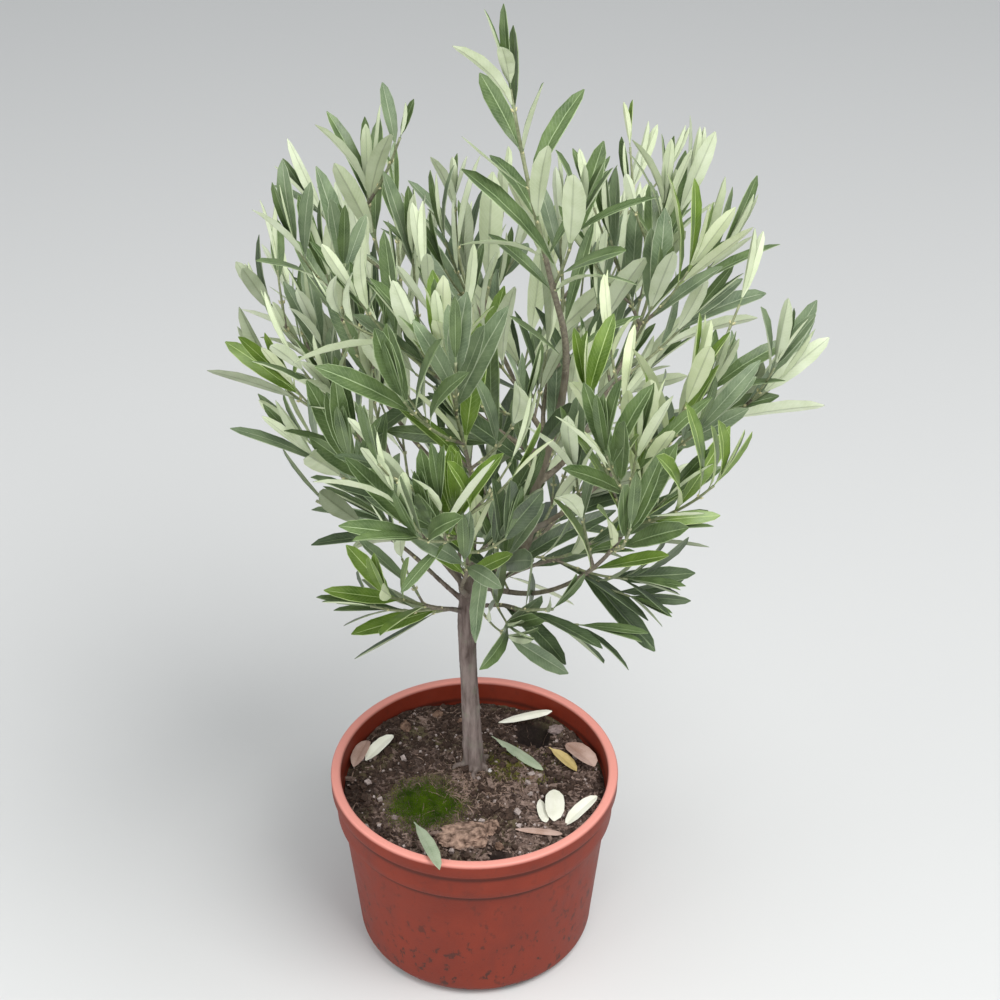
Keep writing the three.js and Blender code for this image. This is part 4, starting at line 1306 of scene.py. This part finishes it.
leaves = {YOUNG: [], FRESH: [], GREY: [], DEEP: []}
every_place = []
for index, mass in enumerate([*masses, inner]):
    placed = every_place if mass is inner else []
    own_space = None if mass is inner else index
    odds = KIND_ODDS.get(mass["name"], OTHER_ODDS)
    shed = SHED.get(mass["name"], 0.0)
    for number, twig in enumerate(mass["twigs"]):
        on_leader = index == 0 and number == 0
        draw = draws_from(index * SEEDS_PER_MASS + 50 + number)
        twig_draw = draws_from(index * 777 + 31 * number + 5)
        kind_draw = twig_draw()
        lift = LEADER_LEAF_LIFT if index == 0 else lerp(LEAST_LIFT_SHARE, 1.0, twig_draw())
        kind = (YOUNG, FRESH, GREY, DEEP)[int(np.searchsorted(np.cumsum(odds), kind_draw * 0.999))]
        habit = (lift, LEADER_OPENING, LEADER_ARCH) if on_leader else (lift,)
        for station in twig["stations"] if on_leader or mass is inner else leafy_nodes(twig):
            growth = max(station["growth"], twig["youth"])
            for opposite in (0, math.pi):
                luck = [draw() for _ in range(8)]
                if station["growth"] < shed and luck[2] < SHED_CHANCE:
                    continue
                for trial in LEAF_TRIALS:
                    leaf = leaf_at(station, station["turn"] + opposite, growth, luck, trial, *habit)
                    if leaf_fits(own_space, leaf, mass["chains"], placed):
                        leaves[kind].append(leaf)
                        break
        end = twig["stations"][-1]
        for turn in (end["turn"] + math.pi / 2, end["turn"] + math.pi * 3 / 2):
            for trial in TIP_LEAF_TRIALS:
                leaf = leaf_at(end, turn, 1.0, TIP_LEAF_LUCK, trial, lift)
                leaf["width"] *= TIP_LEAF_SLIMNESS
                tip = np.array([leaf["root"] + leaf["along"] * leaf["length"]])
                last = trial is TIP_LEAF_TRIALS[-1]
                if inside_reach(tip) and (last or under_skyline(own_space, tip, TIP_LEAF_ALLOWANCE)):
                    leaves[YOUNG if kind == YOUNG else FRESH].append(leaf)
                    break
    if mass is not inner:
        every_place.extend(placed)


def leaf_finish(name, low, high, roughness, specular):
    """Mottled, with a painted sheen on the middle of each half and fine veins that run forward from the
    midrib.
    """
    finish = Finish(name, roughness, specular)
    across, along = finish.own_map()
    side = finish.maths("ABSOLUTE", across)
    broad = finish.mottle(70, 3, 0.5)
    fine = finish.mottle(900, 3, 0.6)
    pale = tuple(channel * 0.94 + 0.06 for channel in high)
    tone = finish.blend(finish.between(broad, 0.32, 0.68), low, high)
    # Painted sheen: each half is painted paler along its middle, as where light catches its curve
    away = finish.maths("ABSOLUTE", finish.maths("SUBTRACT", side, SHEEN_PLACE))
    middle = finish.between(away, 0, SHEEN_REACH, 1, 0)
    painted_sheen = finish.maths("MULTIPLY", middle, finish.between(fine, 0.35, 0.65, 0.05, 0.45))
    tone = finish.blend(painted_sheen, tone, pale)
    run = finish.maths("MULTIPLY", along, VEINS_ALONG)
    phase = finish.maths("SUBTRACT", run, finish.maths("MULTIPLY", side, VEINS_LEAN))
    veins = finish.between(finish.maths("SINE", phase), 0.7, 1.0, 0, 0.4)
    finish.colour(finish.blend(veins, tone, pale))
    finish.relief(finish.maths("ADD", fine, veins), 0.0002, 0.4)
    return finish.material


def leaf_looks_of(name, top, under, rib, gloss):
    """The four finishes of a leaf: its face, its back, its midrib and margin, and the vein behind."""
    # The vein behind is the back's colour darkened: a painted shadow along the raised midrib
    vein = [tuple(channel * 0.76 for channel in tone) for tone in under]
    return (
        leaf_finish(f"{name}_leaf_top", *top, gloss, 0.5),
        leaf_finish(f"{name}_leaf_under", *under, 0.72, 0.25),
        leaf_finish(f"{name}_leaf_rib", *rib, 0.6, 0.3),
        leaf_finish(f"{name}_leaf_vein", *vein, 0.72, 0.25),
    )


leaf_looks = {
    YOUNG: leaf_looks_of("young", ((0.068, 0.134, 0.009), (0.165, 0.262, 0.031)),
                         ((0.670, 0.745, 0.445), (0.790, 0.845, 0.580)),
                         ((0.330, 0.440, 0.150), (0.440, 0.540, 0.230)), 0.34),
    FRESH: leaf_looks_of("fresh", ((0.044, 0.082, 0.020), (0.128, 0.194, 0.062)),
                         ((0.610, 0.685, 0.435), (0.760, 0.825, 0.590)),
                         ((0.230, 0.310, 0.150), (0.330, 0.410, 0.225)), 0.34),
    GREY: leaf_looks_of("grey", ((0.090, 0.138, 0.068), (0.208, 0.274, 0.150)),
                        ((0.625, 0.695, 0.465), (0.780, 0.840, 0.635)),
                        ((0.290, 0.345, 0.225), (0.390, 0.445, 0.310)), 0.36),
    # Deep leaves: partly the older leaves' own darker green, partly painted shade of the inner and lower
    # crown, their backs darkened as if in shade
    DEEP: leaf_looks_of("deep", ((0.024, 0.046, 0.015), (0.070, 0.112, 0.040)),
                        ((0.300, 0.350, 0.220), (0.430, 0.480, 0.330)),
                        ((0.150, 0.205, 0.100), (0.215, 0.270, 0.150)), 0.36),
}
for kind, grown in leaves.items():
    vertices, faces = gather((blade(leaf), blade_faces) for leaf in grown)
    piece = mesh_piece(f"leaves_{kind}", vertices, faces, leaf_looks[kind], blade_kinds * len(grown),
                       places=blade_places * len(grown))
    smooth_by_angle(piece, BLADE_CREASE)
    dress(piece, "foliage")

# Fallen leaves
# Old leaves that have dropped on the compost and dried: cream ones with their backs up, one
# yellow, some pinkish tan and two still grey-green. They lie loose, one across the front rim.
FALLEN_ARCH = 0.1
# Kind, the leaf's two ends in millimetres with their heights over the compost, width, side that is up
FALLEN = [
    ("cream", (-85, 25, 3), (-66, 50, 4), 12, 1), ("cream", (18.5, 70, 4), (61, 75, 11), 8, -1),
    ("cream", (61, -8, 4), (62, -43, 5), 15, 1), ("cream", (50, -17, 2), (53, -44, 2), 8, -1),
    ("cream", (69, -44, 2), (92, -24, 12), 12, 1), ("grey", (13, 51, 3), (51, 15, 3), 9, -1),
    ("grey", (-45, -50, 6), (-21, -115.5, 27.5), 11, 1), ("yellow", (58, 39, 5), (80, 16, 3), 11, 1),
    ("tan", (72, 46, 3), (94, 16, 7), 17, 1), ("tan", (31, -55, 3), (66, -57, 3), 6, -1),
    ("tan", (-94, 18, 5), (-86, 46, 5), 12, 1),
]
fallen_looks = {
    "cream": leaf_finish("dry_cream_leaf", (0.720, 0.710, 0.580), (0.840, 0.830, 0.720), 0.7, 0.3),
    "grey": leaf_finish("dry_grey_leaf", (0.270, 0.330, 0.215), (0.380, 0.430, 0.300), 0.7, 0.25),
    "yellow": leaf_finish("dry_yellow_leaf", (0.430, 0.320, 0.110), (0.580, 0.450, 0.200), 0.65, 0.3),
    "tan": leaf_finish("dry_tan_leaf", (0.330, 0.200, 0.150), (0.520, 0.370, 0.310), 0.75, 0.25),
}
fallen_parts, fallen_kinds = [], []
for kind, root, tip, width, back in FALLEN:
    root, tip = [np.array([x, y, soil_height(x * MM, y * MM) / MM + up]) for x, y, up in (root, tip)]
    length = float(np.linalg.norm(tip - root))
    rise = unit(UP - unit(tip - root) * unit(tip - root)[2])
    along = unit(tip - root + rise * length * FALLEN_ARCH)
    face = unit(rise - along * rise.dot(along)) * back
    fallen_parts.append((blade({
        "root": root, "along": along, "face": face, "length": length, "width": width,
        "arch": FALLEN_ARCH * back, "twist": 0.2 * back, "sway": 0.05, "fold": 1.2 if back > 0 else 0.6,
    }, DRIED_HALVES if kind in ("cream", "tan") else BLADE_HALVES), blade_faces))
    fallen_kinds.extend([list(fallen_looks).index(kind)] * len(blade_faces))
fallen_vertices, fallen_faces = gather(fallen_parts)
fallen = mesh_piece("fallen_leaves", fallen_vertices, fallen_faces, list(fallen_looks.values()), fallen_kinds,
                    places=blade_places * len(FALLEN))
smooth_by_angle(fallen, BLADE_CREASE)
dress(fallen, "foliage")

# Setting
# A plain pale floor and soft light from above, as under a bright overcast sky, with the camera
# looking down on the plant from the photograph's side and height.
FLOOR_SIZE = 30
FLOOR_DROP = 0.0002
SKY_COLOUR = (0.90, 0.95, 1.0, 1)
SKY_STRENGTH = 0.43
# Name, place, size and power of each lamp, all turned to the middle of the plant
LAMPS = [
    ("key", (1.0, -0.9, 2.8), 1.8, 92),
    ("fill", (-2.0, -0.8, 1.8), 2.2, 24),
    ("front", (-0.5, -2.9, 1.2), 2.2, 31),
]
LAMP_TARGET = (0, 0, 0.35)
CAMERA_LENS = 82.8
CAMERA_SENSOR = 36
CAMERA_PLACE = (0.01954, -1.33254, 1.32505)
CAMERA_DIP = 34.7

bpy.ops.object.select_all(action="DESELECT")
bpy.ops.mesh.primitive_plane_add(size=FLOOR_SIZE, location=(0, 0, -FLOOR_DROP))
floor = bpy.context.object
floor.name = "floor"
floor_look = Finish("pale_floor", 0.8, 0.2)
floor_look.shader.inputs["Base Color"].default_value = (0.62, 0.62, 0.61, 1)
floor.data.materials.append(floor_look.material)

world = bpy.data.worlds.new("sky")
world.use_nodes = True
world.node_tree.nodes["Background"].inputs["Color"].default_value = SKY_COLOUR
world.node_tree.nodes["Background"].inputs["Strength"].default_value = SKY_STRENGTH
bpy.context.scene.world = world
bpy.context.scene.view_settings.view_transform = "Standard"
for name, place, size, power in LAMPS:
    lamp = bpy.data.lights.new(name, "AREA")
    lamp.size = size
    lamp.energy = power
    lamp_object = bpy.data.objects.new(name, lamp)
    lamp_object.location = place
    lamp_object.rotation_euler = (Vector(LAMP_TARGET) - Vector(place)).to_track_quat("-Z", "Y").to_euler()
    bpy.context.scene.collection.objects.link(lamp_object)

camera = bpy.data.cameras.new("camera")
camera.lens = CAMERA_LENS
camera.sensor_width = CAMERA_SENSOR
camera_object = bpy.data.objects.new("camera", camera)
camera_object.location = CAMERA_PLACE
camera_object.rotation_euler = (math.radians(90 - CAMERA_DIP), 0, 0)
bpy.context.scene.collection.objects.link(camera_object)
bpy.context.scene.camera = camera_object
